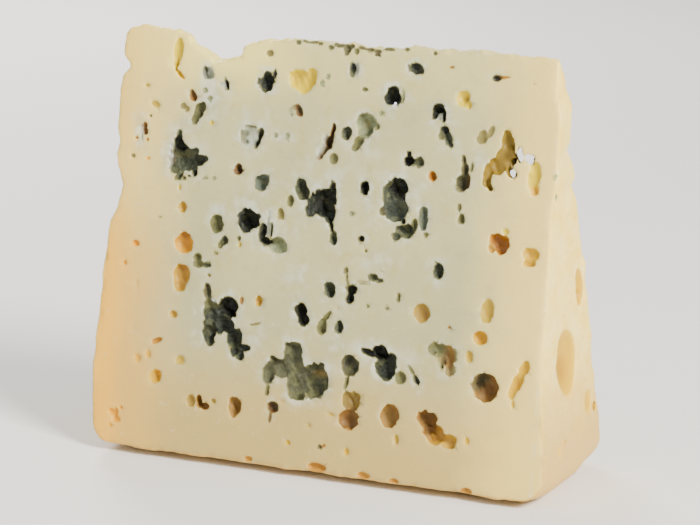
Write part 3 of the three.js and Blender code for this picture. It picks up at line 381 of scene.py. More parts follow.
BACK_HOLLOWS = {
    "through_back": ("ochre_wall", [(41.2, 71.9, 4, 3.8, 0, 3.6), (38.2, 68.4, 2.6, 3.2, 20, 3.6)]),
    "back_black": ("black", [(-12, 60, 6, 7, 10, 4.4), (-8.6, 57.4, 4, 4.2, 0, 3)]),
    "back_black_tail": ("slate", [(-14, 55, 1.8, 3.8, 20, 1.5)]),
    "back_velvet": ("grey_blue", [(8, 33, 7.6, 6.2, 0, 2.6), (3.6, 29.4, 4.6, 4.2, 10, 2)]),
    "back_velvet_deep": ("slate", [(13, 29.8, 5.2, 6.6, -20, 3.2)]),
    "back_dark": ("black", [(22, 52, 4.7, 6.2, 15, 3.6)]),
    "back_dark_side": ("grey", [(25.3, 48.9, 2.7, 3.2, 0, 1.8)]),
    "back_cave": ("slate", [(-26, 40, 5.8, 5, -30, 3.8), (-24, 36, 2.2, 3.8, 10, 2)]),
    "back_cave_side": ("olive", [(-29.4, 43, 3.2, 4.2, 0, 2.2)]),
    "back_upper_grey": ("grey", [(-3, 76, 3, 4.6, -15, 1.8)]),
    "back_upper_black": ("black", [(16, 72.5, 3.3, 4.1, 10, 2.4)]),
    "back_left_ochre": ("ochre_light", [(-43, 52, 4.7, 5, 0, 2)]),
    "back_left_yellow": ("yellow", [(-47, 30, 3.4, 6.2, 12, 1.1)]),
    "back_left_brown": ("brown", [(-34, 60, 3.2, 4.6, -10, 2.5)]),
    "back_right_ochre": ("rust_light", [(34, 61, 4.2, 4.3, 0, 2)]),
    "back_right_yellow": ("amber", [(46, 45, 3.6, 5, 8, 1.1)]),
    "back_low_brown": ("brown", [(-36, 18, 6, 7.2, -15, 3)]),
    "back_low_brown_side": ("ochre_olive", [(-32.2, 14.4, 4.2, 4.2, 0, 2)]),
    "back_low_velvet": ("grey", [(-14, 24, 4.1, 5.2, 20, 2.2), (-17.5, 21.2, 3.2, 2.8, 0, 1.5)]),
    "back_low_ochre": ("ochre_olive", [(0, 12, 4.5, 4.9, 0, 2.1)]),
    "back_low_yellow": ("pale", [(14, 9, 3, 3.5, 0, 0.9)]),
    "back_right_dark": ("slate", [(30, 28, 4.5, 5.7, -12, 3.3), (33.4, 31.1, 2.4, 2.8, 0, 1.5)]),
    "back_right_cave": ("ochre_olive", [(43, 22, 4.9, 5.2, 0, 2.4)]),
    "back_corner_amber": ("amber", [(48, 10, 1.8, 3.2, 10, 0.9)]),
    "back_velvet_round": ("grey", [(0, 46, 3.5, 3.9, 0, 1.9)]),
    "back_slit": ("dark_brown", [(10, 50, 1.9, 4.4, -14, 2.3)]),
    "back_crest_yellow": ("yellow", [(-24, 81.5, 3.4, 3.3, 0, 1)]),
    "back_crest_slit": ("slate", [(-15, 83, 1.6, 3.7, 18, 1.4)]),
    "back_crest_ochre": ("pale_olive", [(29, 79, 2.8, 3.3, 0, 1.1)]),
    "back_grey": ("grey_blue", [(-20, 70.5, 3.5, 3.3, 0, 1.7)]),
    "back_olive": ("pale_olive", [(-44, 71, 2.3, 3.1, 0, 1.1)]),
    "back_small_black": ("black", [(6, 63, 2.3, 3.1, 0, 1.9)]),
    "back_right_olive": ("olive", [(38.5, 46.5, 2.1, 3.1, 0, 1.1)]),
    "back_low_amber": ("ochre_light", [(-20, 10, 3.1, 3.5, 0, 1.4)]),
    "back_mid_olive": ("olive", [(21, 38.5, 3.5, 3.1, 30, 1.5)]),
    "back_mid_brown": ("dark_brown", [(-41, 40, 2.1, 3.3, 0, 1.5)]),
    "back_middle_field": ("grey_olive", [
        (-20, 47, 5.4, 4.4, 0, 1.6), (-15.6, 45.6, 4.4, 3.4, 12, 1.5), (-22.6, 44.2, 2.4, 3.6, 20, 1.2),
    ]),
    "back_middle_deep": ("black", [(-19.4, 48.4, 2.4, 1.8, 0, 2.2)]),
    "back_upper_field": ("slate", [(24, 66.5, 4.2, 3.4, -8, 1.7), (26.6, 64.4, 2.2, 3.8, 10, 1.3)]),
    "back_low_field": ("grey_olive", [(27, 19, 4.4, 3.6, 10, 1.4), (23.8, 17.4, 2.6, 3, 0, 1.2)]),
    # Painted highlight: the glint on the wet paste of this hollow, put in as a pale colour.
    "back_glint": ("wet_glint", [(-32, 68, 3.2, 4, -12, 0.9)]),
    "back_wet_edge": ("black", [(-30.6, 68.4, 0.9, 3, -8, 1.7)]),
    # Painted highlight: the glint on the wet paste of this hollow, put in as a pale colour.
    "back_glint_upper": ("wet_glint", [(9, 86, 1.6, 2.8, 10, 0.7)]),
    "back_crest_black": ("black", [(7.6, 86.4, 1.2, 2.4, 10, 1.6), (-8, 88.4, 2.6, 2, 0, 1.4)]),
    "back_crest_specks": ("dark_olive", [
        (2, 94, 1.6, 0.9, 10, 0.8), (12.4, 94.2, 1.2, 0.7, 0, 0.6), (-14, 94, 1, 0.8, 0, 0.5),
        (24, 93.4, 1.3, 0.7, -8, 0.6),
    ]),
    "back_left_black": ("black", [(-36.5, 50, 2.3, 2.7, 0, 1.9)]),
}
# Hollows in the wheel's flats: y, z, width, height, lean, depth.
RIGHT_HOLLOWS = {
    "dent": ("dent_pale", [(-0.8, 29, 8.8, 12.4, -12, 0.9)]),
    "dent_low": ("dent", [(-0.4, 27.4, 5.8, 7.6, -12, 1.1)]),
    "stains": ("dent_pale", [(11.4, 17, 3.4, 5, 10, 0.35), (7, 44, 3, 6, -8, 0.3), (-8, 12, 4, 5, 0, 0.3)]),
    "pits": ("amber", [
        (15, 14.5, 2.2, 2.4, 0, 0.9), (7.9, 41.9, 1.1, 1.5, 0, 0.6), (-4.5, 11.5, 1.4, 1.2, 0, 0.6),
    ]),
    "grey_speck": ("grey", [(-5.6, 66, 0.8, 0.9, 0, 0.4), (3.4, 52, 0.6, 0.8, 0, 0.4)]),
}
LEFT_HOLLOWS = {
    "dent": ("dent_pale", [(4, 38.4, 7.4, 11.4, 15, 0.8)]),
    "dent_low": ("dent", [(3.7, 36.8, 4.8, 6.8, 15, 0.95)]),
    "pits": ("amber", [(-8, 16, 2.4, 2.2, 0, 1), (2, 62, 1.8, 3, 0, 0.9), (9.6, 22, 1.4, 1.6, 0, 0.7)]),
    "grey_speck": ("grey", [(-3, 50, 0.8, 0.9, 0, 0.4), (-4.6, 29, 0.7, 0.7, 0, 0.4)]),
}
# Hollows in the rind, either side of the flat that it stands on: x, y, width, height, lean, depth.
RIND_HOLLOWS = {
    "pits": ("amber", [
        (-33, -12, 3, 2.2, 0, 1), (18, 12, 3.6, 2.6, 0, 1.1), (-8, 13.5, 2.6, 2.2, 0, 0.9),
        (36, -13, 2.4, 2.8, 0, 1),
    ]),
    "dark_pits": ("grey", [
        (-20, 12.4, 1.6, 1.4, 0, 0.8), (4, -11.8, 1.4, 1.8, 0, 0.8), (44, 10, 1.4, 1.2, 0, 0.7),
    ]),
}

# Paste left standing in a hollow, coloured near-white as a painted highlight: x, z, width, height, lean, how
# deep its middle lies, and half of its length inward.
FRONT_ISLANDS = {
    "upper_black_core": [(13.8, 83.1, 0.5, 0.8, 20, 0.5, 0.6)],
    "star_rim": [(-40.5, 69.6, 0.5, 1, 15, 0.5, 0.5), (-40.3, 67.9, 0.5, 0.8, -10, 0.5, 0.5)],
    "boot_ledge_core": [(-26.8, 36.9, 0.6, 0.7, 0, 0.9, 0.8)],
}

# Blue-grey paste where mould lies under the surface, on the front and on the back: x, z, width, height and
# strength.
FRONT_MISTS = [
    (-31, 82, 9, 12, 0.8), (-20, 79, 8, 5, 0.5), (-12.8, 74, 7, 4, 0.7), (35, 73, 8, 6, 0.55),
    (-27, 56.6, 5, 3, 0.8), (-9, 54, 7, 5, 0.5), (1, 67, 12, 5, 0.5), (10, 60.5, 8, 9, 0.5),
    (20, 66, 8, 7, 0.5), (-20, 60, 10, 4, 0.6), (7, 74, 11, 9, 0.6), (13, 49, 12, 7, 0.5),
    (-6, 44, 12, 8, 0.5), (4, 30, 12, 5, 0.55), (-30, 32, 5, 12, 0.6), (-15, 30, 6, 8, 0.5),
    (22, 29, 6, 6, 0.5), (27, 80, 6, 6, 0.5), (-36, 75, 9, 6, 0.6),
]
BACK_MISTS = [
    (-18, 50, 14, 8, 0.5), (20, 58, 11, 12, 0.5), (4, 75, 12, 5, 0.5), (10, 33, 12, 7, 0.5),
    (-33, 66, 7, 9, 0.5),
    (-14, 24, 8, 7, 0.5), (30, 27, 8, 7, 0.5), (-16, 83, 9, 5, 0.6),
]

# A finish for a hollow: its colour at the mouth and deep down (as 0 to 255 screen values), the deep colour
# darker as painted shade in the recess, the depth at which this shaded colour is reached, how thick its pale
# lip is, the tint and strength of the fringe round its mouth, how much bluish haze it spreads into the paste,
# and how velvety its mould is.
Look = namedtuple("Look", "mouth deep full_depth lip fringe fringe_strength haze velvet")
MOULD_FRINGE = (150, 142, 78)
WARM_FRINGE = (210, 182, 86)
LOOKS = {
    "black": Look((44, 46, 38), (26, 29, 25), 1.4, 0.1, MOULD_FRINGE, 0.7, 1, 0.6),
    "jet": Look((29, 31, 26), (18, 20, 17), 1.2, 0.08, MOULD_FRINGE, 0.75, 1, 0.25),
    "deep_green": Look((38, 45, 33), (26, 31, 23), 1.8, 0.1, MOULD_FRINGE, 0.7, 0.9, 0.6),
    "slate": Look((66, 70, 51), (46, 51, 36), 1.8, 0.1, MOULD_FRINGE, 0.7, 0.9, 1),
    "grey": Look((150, 157, 112), (134, 140, 102), 1.6, 0.1, MOULD_FRINGE, 0.65, 0.7, 1),
    "grey_blue": Look((89, 96, 80), (73, 82, 69), 1.8, 0.1, MOULD_FRINGE, 0.65, 0.9, 1),
    "slate_blue": Look((64, 71, 60), (50, 57, 48), 1.8, 0.1, MOULD_FRINGE, 0.65, 0.9, 0.7),
    "grey_olive": Look((80, 78, 50), (66, 66, 44), 1.8, 0.1, MOULD_FRINGE, 0.65, 0.9, 1),
    "tan": Look((162, 135, 49), (144, 111, 40), 1.8, 0.2, WARM_FRINGE, 0.3, 0.1, 0.1),
    "dark_tan": Look((134, 112, 42), (120, 95, 36), 1.8, 0.2, WARM_FRINGE, 0.3, 0.1, 0.1),
    "olive": Look((111, 106, 58), (88, 86, 47), 1.4, 0.12, MOULD_FRINGE, 0.55, 0.5, 0.8),
    "dark_olive": Look((88, 78, 42), (60, 56, 32), 1.5, 0.12, MOULD_FRINGE, 0.65, 0.5, 0.8),
    "pale_olive": Look((138, 126, 64), (122, 109, 53), 1, 0.2, MOULD_FRINGE, 0.35, 0.3, 0.5),
    "dark_brown": Look((107, 69, 24), (73, 47, 16), 1.4, 0.1, MOULD_FRINGE, 0.6, 0.6, 0.6),
    "brown": Look((153, 107, 42), (122, 84, 31), 1.8, 0.15, WARM_FRINGE, 0.5, 0.2, 0.4),
    "ochre_olive": Look((171, 127, 51), (133, 98, 38), 1.8, 0.2, WARM_FRINGE, 0.4, 0.2, 0.3),
    "ochre_wall": Look((142, 117, 32), (126, 100, 28), 3, 0.25, WARM_FRINGE, 0.3, 0.1, 0.1),
    "rust": Look((178, 120, 31), (144, 91, 25), 1.8, 0.15, WARM_FRINGE, 0.4, 0, 0.1),
    "rust_light": Look((187, 133, 36), (160, 106, 31), 2.2, 0.2, WARM_FRINGE, 0.3, 0, 0),
    "ochre": Look((217, 162, 27), (187, 133, 25), 1.8, 0.25, WARM_FRINGE, 0.3, 0, 0),
    "ochre_light": Look((187, 151, 40), (164, 120, 33), 2, 0.25, WARM_FRINGE, 0.25, 0, 0),
    "amber": Look((204, 166, 18), (189, 140, 5), 1.5, 0.2, WARM_FRINGE, 0.25, 0, 0),
    "yellow": Look((211, 186, 31), (200, 169, 13), 1.5, 0.2, WARM_FRINGE, 0.25, 0, 0),
    "orange": Look((226, 164, 0), (220, 150, 0), 0.7, 0.1, WARM_FRINGE, 0.35, 0, 0),
    "faint_orange": Look((217, 177, 64), (217, 164, 36), 0.5, 0.2, WARM_FRINGE, 0.3, 0, 0),
    "pale": Look((186, 158, 53), (178, 146, 40), 1, 0.3, WARM_FRINGE, 0.15, 0, 0),
    "dent": Look((174, 122, 0), (156, 106, 0), 0.9, 0.2, WARM_FRINGE, 0, 0, 0),
    "dent_pale": Look((226, 184, 52), (204, 160, 20), 0.9, 0.35, WARM_FRINGE, 0, 0, 0),
    # Pale grey-green painted highlight: the glint of light on wet paste in a hollow, put in as colour.
    "wet_glint": Look((187, 191, 169), (151, 153, 129), 1.2, 0.2, MOULD_FRINGE, 0.25, 1, 0.15),
}
# Near-white painted highlight on the paste standing in the hollows.
ISLAND_HIGHLIGHT = (240, 244, 242)

# Where a pale upright stripe runs down the front, along the wheel's axis
PALE_STRIPE = 53.2

# Pits too small to be placed one by one, spread in loose groups over the back and kept clear of the margins
SCATTERED_SEED = 20
SCATTERED_LOOKS = ["olive", "slate", "brown", "pale_olive", "grey", "black", "ochre_light", "pale", "olive"]
BACK_SCATTERED = 84
SCATTERED_GROUP = 6  # how many of them lie together

# How the carving behaves
JOIN_SHARE = 0.2  # how softly a lobe runs into others, as a share of its smaller size
JOIN_LEAST = 0.25
LIP_ROUNDING = 0.16
DEEP_MIDDLE = 0.22  # how far under the face a lobe's middle lies, as a share of its depth
DISH_MIDDLE = -0.5  # the same for a shallow lobe, whose middle lies outside the face
SHALLOW_SHARE = 0.4  # a lobe less deep than this share of its smaller size is shallow
RAGGED_SHARE = 0.07  # how uneven a lobe is, as a share of its smaller size, but not more than
RAGGED_MOST = 0.32
RAGGED_LEAST = 0.03
RAGGED_DEPTH = 0.11  # and not more than this share of its depth
SMOOTH_LOOKS = ("dent", "dent_pale")  # soft dents in the outside, smooth and with low lips
SMOOTH_JOIN = 1.2
SMOOTH_MIDDLE = -3
SMOOTH_RAGGED = 0.15
CLEAR = 2.0  # field beyond this distance from a lobe is left alone
BAND = 1.0


def linear(colour):
    """A colour of 0 to 255 screen values as the linear values that shaders use."""
    shares = [channel / 255 for channel in colour]
    return tuple(s / 12.92 if s <= 0.04045 else ((s + 0.055) / 1.055) ** 2.4 for s in shares)


def ease(t):
    t = np.clip(t, 0, 1)
    return t * t * (3 - 2 * t)


def along(table, place):
    """A value read off a table of (place, value) rows, straight between the rows."""
    places, values = zip(*table)
    return np.interp(place, places, values).astype(np.float32)


def soft_min(a, b, softness):
    share = np.clip(0.5 + 0.5 * (b - a) / softness, 0, 1)
    return b + (a - b) * share - softness * share * (1 - share)


def soft_max(a, b, softness):
    return -soft_min(-a, -b, softness)


def rounded_corner(distances, radius):
    """The inside of several faces at once, with the edges between them rounded to the radius."""
    reach = 0
    largest = distances[0]
    for distance in distances:
        reach = reach + np.maximum(distance + radius, 0) ** 2
        largest = np.maximum(largest, distance)
    return np.sqrt(reach) + np.minimum(largest + radius, 0) - radius


class Ripples:
    """Smooth random relief between about -1 and 1: waves of one length in seeded directions."""

    def __init__(self, wavelength, seed, count=7):
        draw = np.random.default_rng(seed)
        directions = draw.normal(size=(count, 3))
        directions /= np.linalg.norm(directions, axis=1, keepdims=True)
        lengths = wavelength * draw.uniform(0.7, 1.5, size=(count, 1))
        self.waves = (directions * 2 * math.pi / lengths).astype(np.float32)
        self.phases = draw.uniform(0, 2 * math.pi, count).astype(np.float32)

    def at(self, x, y, z):
        total = 0
        for (kx, ky, kz), phase in zip(self.waves, self.phases):
            total = total + np.sin(kx * x + ky * y + kz * z + phase)
        return total * (1.2 / math.sqrt(len(self.phases)))


class WedgeForm:
    """The outside of the wedge before its hollows, as distances in mm, negative inside."""

    def __init__(self, sizes):
        self.radius = sizes.wheel_radius / MM
        self.half_length = sizes.wheel_height / MM / 2
        self.slope = math.tan(sizes.slice_angle / 2)
        self.tilt = math.atan(self.slope)
        self.tip = sizes.tip_thickness / MM / 2
        self.rest_half = sizes.rest_width / MM / 2
        self.rim = sizes.rim_radius / MM
        self.edge = sizes.edge_radius / MM
        self.crest = sizes.crest_height / MM
        self.swell_height = sizes.surface_swell / MM
        self.rest_depth = self.radius - math.sqrt(self.radius**2 - self.rest_half**2)
        self.crest_crumb = Ripples(3.4, 31)
        self.crest_grain = Ripples(1.3, 32)

    def half_thickness(self, z):
        return self.tip + (self.radius - z) * self.slope

    def rind_height(self, y):
        return np.maximum(0, self.radius - np.sqrt(self.radius**2 - y * y) - self.rest_depth)

    def swell(self, side, x, z):
        broad = np.sin(0.11 * x + 0.6 + side) * np.sin(0.09 * z + 1.1)
        fine = np.sin(0.27 * x - 0.19 * z + 2 * side)
        start, over = SWELL_FADE_FOOT
        fade = ease((self.crest - z) / SWELL_FADE_TOP) * ease((z - start) / over)
        return self.swell_height * (0.6 * broad + 0.4 * fine) * fade

    def outer(self, x, y, z):
        """The natural outside: the wheel's two flats and its rind, with the rims round."""
        across = np.clip((self.half_thickness(z) - y) / (2 * self.half_thickness(z)), 0, 1)
        left_front, left_back = along(LEFT_FRONT, z), along(LEFT_BACK, z)
        right_front, right_back = along(RIGHT_FRONT, z), along(RIGHT_BACK, z)
        left = -self.half_length + left_back + (left_front - left_back) * across
        right = self.half_length - right_back - (right_front - right_back) * across
        return rounded_corner([left - x, x - right, self.rind_height(y) - z], self.rim)

    def faces(self, x, y, z):
        """Distances to the natural outside, the front cut, the back cut and the crumbled crest."""
        half = self.half_thickness(z)
        squash = math.cos(self.tilt)
        front = (-y - half - self.swell(-1, x, z)) * squash
        back = (y - half - self.swell(1, x, z)) * squash
        crumb = 0.2 * self.crest_crumb.at(x, 2 * y, 0) + 0.1 * self.crest_grain.at(x, y, 0)
        crest = z - along(CREST, x) - crumb
        return [self.outer(x, y, z), front, back, crest]

    def distance(self, x, y, z):
        return rounded_corner(self.faces(x, y, z), self.edge)


class Lobe:
    """One soft round bite: its middle, its own three directions and its half sizes along them."""

    def __init__(self, look, centre, directions, half_sizes):
        self.look = look
        self.centre = np.array(centre, dtype=np.float32)
        self.directions = np.array(directions, dtype=np.float32)
        self.half_sizes = np.array(half_sizes, dtype=np.float32)
        self.reach = float(max(half_sizes))
        self.join = max(JOIN_LEAST, JOIN_SHARE * 2 * min(half_sizes[:2]))
        uneven = RAGGED_LEAST + RAGGED_SHARE * 2 * min(half_sizes[:2])
        self.ragged = min(RAGGED_MOST, uneven, RAGGED_DEPTH * half_sizes[2])
        if look in SMOOTH_LOOKS:
            self.join = SMOOTH_JOIN
            self.ragged *= SMOOTH_RAGGED

    def distance(self, x, y, z):
        offsets = [x - self.centre[0], y - self.centre[1], z - self.centre[2]]
        near = 0
        steep = 0
        for direction, half in zip(self.directions, self.half_sizes):
            place = sum(float(d) * offset for d, offset in zip(direction, offsets)) / half
            near = near + place * place
            steep = steep + (place / half) ** 2
        near = np.sqrt(near)
        return near * (near - 1) / np.maximum(np.sqrt(steep), 1e-4)


class Carving:
    """All the hollows, and the paste left standing in them."""

    def __init__(self, form):
        self.form = form
        self.coarse = Ripples(3, 11)
        self.fine = Ripples(1.15, 12)
        self.lobes = []
        self.islands = []
        front, back = self.cut_face(-1), self.cut_face(1)
        self.add_all(front, FRONT_HOLLOWS)
        self.add_all(back, BACK_HOLLOWS)
        self.add_all(self.flat_face(1), RIGHT_HOLLOWS)
        self.add_all(self.flat_face(-1), LEFT_HOLLOWS)
        self.add_all(self.rind_face(), RIND_HOLLOWS)
        for look, centre, half_sizes in THROUGH_BUBBLES:
            self.lobes.append(Lobe(look, centre, np.eye(3), half_sizes))
        self.scatter(back, BACK_SCATTERED)
        for islands in FRONT_ISLANDS.values():
            for island in islands:
                self.islands.append(self.island_on(front, island))

    def cut_face(self, side):
        tilt = self.form.tilt
        up = (0, -side * math.sin(tilt), math.cos(tilt))
        out = (0, side * math.cos(tilt), math.sin(tilt))
        return lambda x, z: ((x, side * self.form.half_thickness(z), z), (1, 0, 0), up, out)

    def flat_face(self, side):
        front = LEFT_FRONT if side < 0 else RIGHT_FRONT
        reach = self.form.half_length

        def place(y, z):
            return (side * (reach - float(along(front, z))), y, z), (0, 1, 0), (0, 0, 1), (side, 0, 0)

        return place

    def rind_face(self):
        return lambda x, y: ((x, y, float(self.form.rind_height(y))), (1, 0, 0), (0, 1, 0), (0, 0, -1))

    @staticmethod
    def leaning(across, up, lean):
        """The across and up directions of a lobe whose top leans by that many degrees."""
        turn = math.radians(lean)
        across, up = np.array(across), np.array(up)
        return across * math.cos(turn) - up * math.sin(turn), up * math.cos(turn) + across * math.sin(turn)

    def lobe_on(self, face, look, lobe):
        u, v, width, height, lean, depth = lobe
        place, across, up, out = face(u, v)
        shallow = depth < SHALLOW_SHARE * min(width, height)
        middle = DISH_MIDDLE if shallow else DEEP_MIDDLE
        if look in SMOOTH_LOOKS:
            middle = SMOOTH_MIDDLE
        reach = depth * (1 - middle)
        mouth = math.sqrt(1 - (middle * depth / reach) ** 2)
        centre = np.array(place) - middle * depth * np.array(out)
        across, up = self.leaning(across, up, lean)
        half_sizes = (width / 2 / mouth, height / 2 / mouth, reach)
        return Lobe(look, centre, (across, up, out), half_sizes)

    def island_on(self, face, island):
        u, v, width, height, lean, sunk, half_length = island
        place, across, up, out = face(u, v)
        across, up = self.leaning(across, up, lean)
        centre = np.array(place) - sunk * np.array(out)
        return Lobe("island", centre, (across, up, out), (width / 2, height / 2, half_length))

    def add_all(self, face, hollows):
        for look, lobes in hollows.values():
            for lobe in lobes:
                self.lobes.append(self.lobe_on(face, look, lobe))

    def scatter(self, face, count):
        """Small pits in loose groups, thickest in the middle of the wheel's height, where the mould grows."""
        draw = np.random.default_rng(SCATTERED_SEED)
        for index in range(count):
            if index % SCATTERED_GROUP == 0:
                home = draw.normal(-3, 22), draw.uniform(8, 88)
            x = float(np.clip(home[0] + draw.normal(0, 3.6), -46, 42))
            z = float(np.clip(home[1] + draw.normal(0, 3.6), 5, 90))
            width = 0.55 + 1.7 * float(draw.uniform()) ** 2.5
            height = width * float(draw.uniform(0.8, 1.7))
            depth = width * float(draw.uniform(0.4, 0.9))
            look = SCATTERED_LOOKS[index % len(SCATTERED_LOOKS)]
            lean = float(draw.uniform(-40, 40))
            self.lobes.append(self.lobe_on(face, look, (x, z, width, height, lean, depth)))

    def lobe_distance(self, lobe, x, y, z):
        ragged = 0.6 * self.coarse.at(x, y, z) + 0.6 * self.fine.at(x, y, z)
        return lobe.distance(x, y, z) + lobe.ragged * ragged


class Grid:
    """A regular grid of distances round the wedge."""

    def __init__(self, form, step):
        self.step = step
        half = form.half_thickness(0) + 1.5
        low = (-form.half_length - 2, -half, -1.2)
        high = (form.half_length + 2, half, max(height for _, height in CREST) + 2)
        self.axes = [
            np.arange(start, stop, step, dtype=np.float32) for start, stop in zip(low, high)
        ]
        self.low = low

    def block(self, centre, reach):
        """The slices of the grid within reach of a centre, and the coordinates in them."""
        slices = []
        for axis, middle in zip(self.axes, centre):
            start, stop = np.searchsorted(axis, (middle - reach, middle + reach))
            slices.append(slice(int(start), int(stop)))
        x, y, z = (axis[part] for axis, part in zip(self.axes, slices))
        return tuple(slices), (x[:, None, None], y[None, :, None], z[None, None, :])

    def everywhere(self):
        x, y, z = self.axes
        return x[:, None, None], y[None, :, None], z[None, None, :]


def surface_relief(form, x, y, z, hollow):
    """How far the skin stands proud: crumbly at the edges and near hollows, faintly wavy on the outside."""
    outer, front, back, crest = form.faces(x, y, z)
    cut = np.maximum(front, back)
    corners = np.minimum(np.maximum(outer, crest), cut)
    edge = ease(1 + corners / 1.6)
    natural = ease(1 + (outer - cut) / 1.2)
    near_hollow = np.exp(-((np.maximum(hollow, 0) / 0.8) ** 2))
    crumbs = Ripples(2.6, 41).at(x, y, z)
    grain = Ripples(1.0, 42).at(x, y, z)
    waves = Ripples(9, 43).at(x, y, z)
    return 0.022 * grain * near_hollow + 0.07 * edge * crumbs + 0.13 * natural * waves


def carved_field(form, carving, grid):
    """The distances of the finished cheese on the grid."""
    skin = form.distance(*grid.everywhere()).astype(np.float32)
    hollow = np.full(skin.shape, CLEAR, dtype=np.float32)
    for lobe in carving.lobes:
        part, place = grid.block(lobe.centre, lobe.reach + CLEAR)
        distance = carving.lobe_distance(lobe, *place)
        hollow[part] = soft_min(hollow[part], np.minimum(distance, CLEAR), lobe.join)
    band = np.flatnonzero(np.abs(skin) < BAND)
    i, j, k = np.unravel_index(band, skin.shape)
    x, y, z = grid.axes[0][i], grid.axes[1][j], grid.axes[2][k]
    skin.ravel()[band] -= surface_relief(form, x, y, z, hollow.ravel()[band]).astype(np.float32)
    field = soft_max(skin, -hollow, LIP_ROUNDING)
    for island in carving.islands:
        part, place = grid.block(island.centre, island.reach + CLEAR)
        distance = np.maximum(island.distance(*place) + 0.14 * carving.fine.at(*place), skin[part])
        field[part] = soft_min(field[part], distance, JOIN_LEAST)
    return np.maximum(field, -grid.axes[2][None, None, :])


def largest_shell(count, triangles, quads):
    """Which of the vertices belong to the largest connected shell."""
    edges = [triangles[:, (0, 1)], triangles[:, (1, 2)]]
    edges += [quads[:, (0, 1)], quads[:, (1, 2)], quads[:, (2, 3)]]
    first, second = np.concatenate(edges).astype(np.int64).T
    label = np.arange(count)
    while np.any(label[first] != label[second]):
        lowest = np.minimum(label[first], label[second])
        np.minimum.at(label, label[first], lowest)
        np.minimum.at(label, label[second], lowest)
        label = label[label]
    return label == np.argmax(np.bincount(label))


def skin_mesh(field, grid, adaptivity):
    """Vertices in mm and faces of the surface where the field crosses zero, without loose scraps."""
    volume = openvdb.FloatGrid(background=BAND)
    volume.copyFromArray(np.clip(field, -BAND, BAND).astype(np.float32))
    points, triangles, quads = volume.convertToPolygons(isovalue=0.0, adaptivity=adaptivity)
    kept = largest_shell(len(points), triangles, quads)
    place = np.cumsum(kept) - 1
    faces = [place[group[kept[group[:, 0]]]].tolist() for group in (triangles, quads)]
    vertices = points[kept] * grid.step + np.array(grid.low, dtype=np.float32)
    return vertices, faces[0] + faces[1]


def paint(form, carving, vertices):
    """What each vertex needs for its finish, worked out from where it lies in and beside the hollows."""
    x, y, z = vertices.T
    outer, front, back, crest = form.faces(x, y, z)
    depth = -rounded_corner([outer, front, back, crest], form.edge)
    count = len(vertices)
    weight = np.full(count, 1e-6, dtype=np.float32)
    colour = np.zeros((count, 3), dtype=np.float32)
    stained = np.zeros(count, dtype=np.float32)
    haze = np.zeros(count, dtype=np.float32)
    velvet = np.zeros(count, dtype=np.float32)
    for lobe in carving.lobes:
        reach = lobe.reach + 2 * CLEAR
        near = np.flatnonzero(np.all(np.abs(vertices - lobe.centre) < reach, axis=1))
        if not len(near):
            continue
        look = LOOKS[lobe.look]
        distance = np.maximum(carving.lobe_distance(lobe, x[near], y[near], z[near]), 0)
        below = depth[near]
        # The colour darkens from the mouth to the deep colour: painted shade in the recess, over the look's
        # own colour.
        share = ease(below / look.full_depth)[:, None]
        inside = np.array(linear(look.mouth)) * (1 - share) + np.array(linear(look.deep)) * share
        fringe = ease(1 - below / 0.3)[:, None] * ease(distance / 0.2)[:, None]
        tint = inside * (1 - fringe) + np.array(linear(look.fringe)) * fringe
        pull = np.exp(-((distance / 0.4) ** 2))
        weight[near] += pull
        colour[near] += tint * pull[:, None]
        walls = pull * np.clip(below / (2 * look.lip), 0, 1)
        rim = look.fringe_strength * np.exp(-((distance / 0.42) ** 2))
        stained[near] = np.maximum(stained[near], np.maximum(walls, rim))
        halo = 0.4 * np.exp(-((distance / 0.9) ** 2)) + 0.5 * np.exp(-((distance / 2.4) ** 2))
        haze[near] = np.maximum(haze[near], min(1, 0.2 + 0.4 * lobe.reach) * look.haze * halo)
        velvet[near] = np.maximum(velvet[near], look.velvet * pull)
    colour /= weight[:, None]
    for mists, shown in ((FRONT_MISTS, front > back), (BACK_MISTS, front <= back)):
        for across, up, width, height, strength in mists:
            spread = ((x - across) / width) ** 2 + ((z - up) / height) ** 2
            haze = np.maximum(haze, strength * np.exp(-4 * spread) * shown)
    # The paste standing in a hollow takes the near-white painted highlight colour and loses its velvet.
    for island in carving.islands:
        near = np.flatnonzero(np.all(np.abs(vertices - island.centre) < island.reach + CLEAR, axis=1))
        distance = np.maximum(island.distance(x[near], y[near], z[near]), 0)
        share = np.exp(-((distance / 0.22) ** 2))[:, None]
        colour[near] = colour[near] * (1 - share) + np.array(linear(ISLAND_HIGHLIGHT)) * share
        velvet[near] *= 1 - share[:, 0]
    return {
        "stained": stained,
        "haze": haze,
        "velvet": velvet,
        "depth": depth,
        "inward": -outer,
    }, colour


def new_mesh(name, vertices, faces, numbers, colour):
    mesh = bpy.data.meshes.new(name)
    shifted = (vertices + np.array([ORIGIN_SHIFT, 0, 0])) * MM
    mesh.from_pydata(shifted.tolist(), [], faces)
    for label, values in numbers.items():
        attribute = mesh.attributes.new(label, "FLOAT", "POINT")
        attribute.data.foreach_set("value", values.astype(np.float32))
    attribute = mesh.attributes.new("stain", "FLOAT_COLOR", "POINT")
    with_alpha = np.concatenate([colour, np.ones((len(colour), 1))], axis=1)
    attribute.data.foreach_set("color", with_alpha.astype(np.float32).ravel())
    mesh.polygons.foreach_set("use_smooth", np.ones(len(faces), dtype=bool))
    mesh.update()
    if mesh.validate():
        mesh.update()
    return mesh


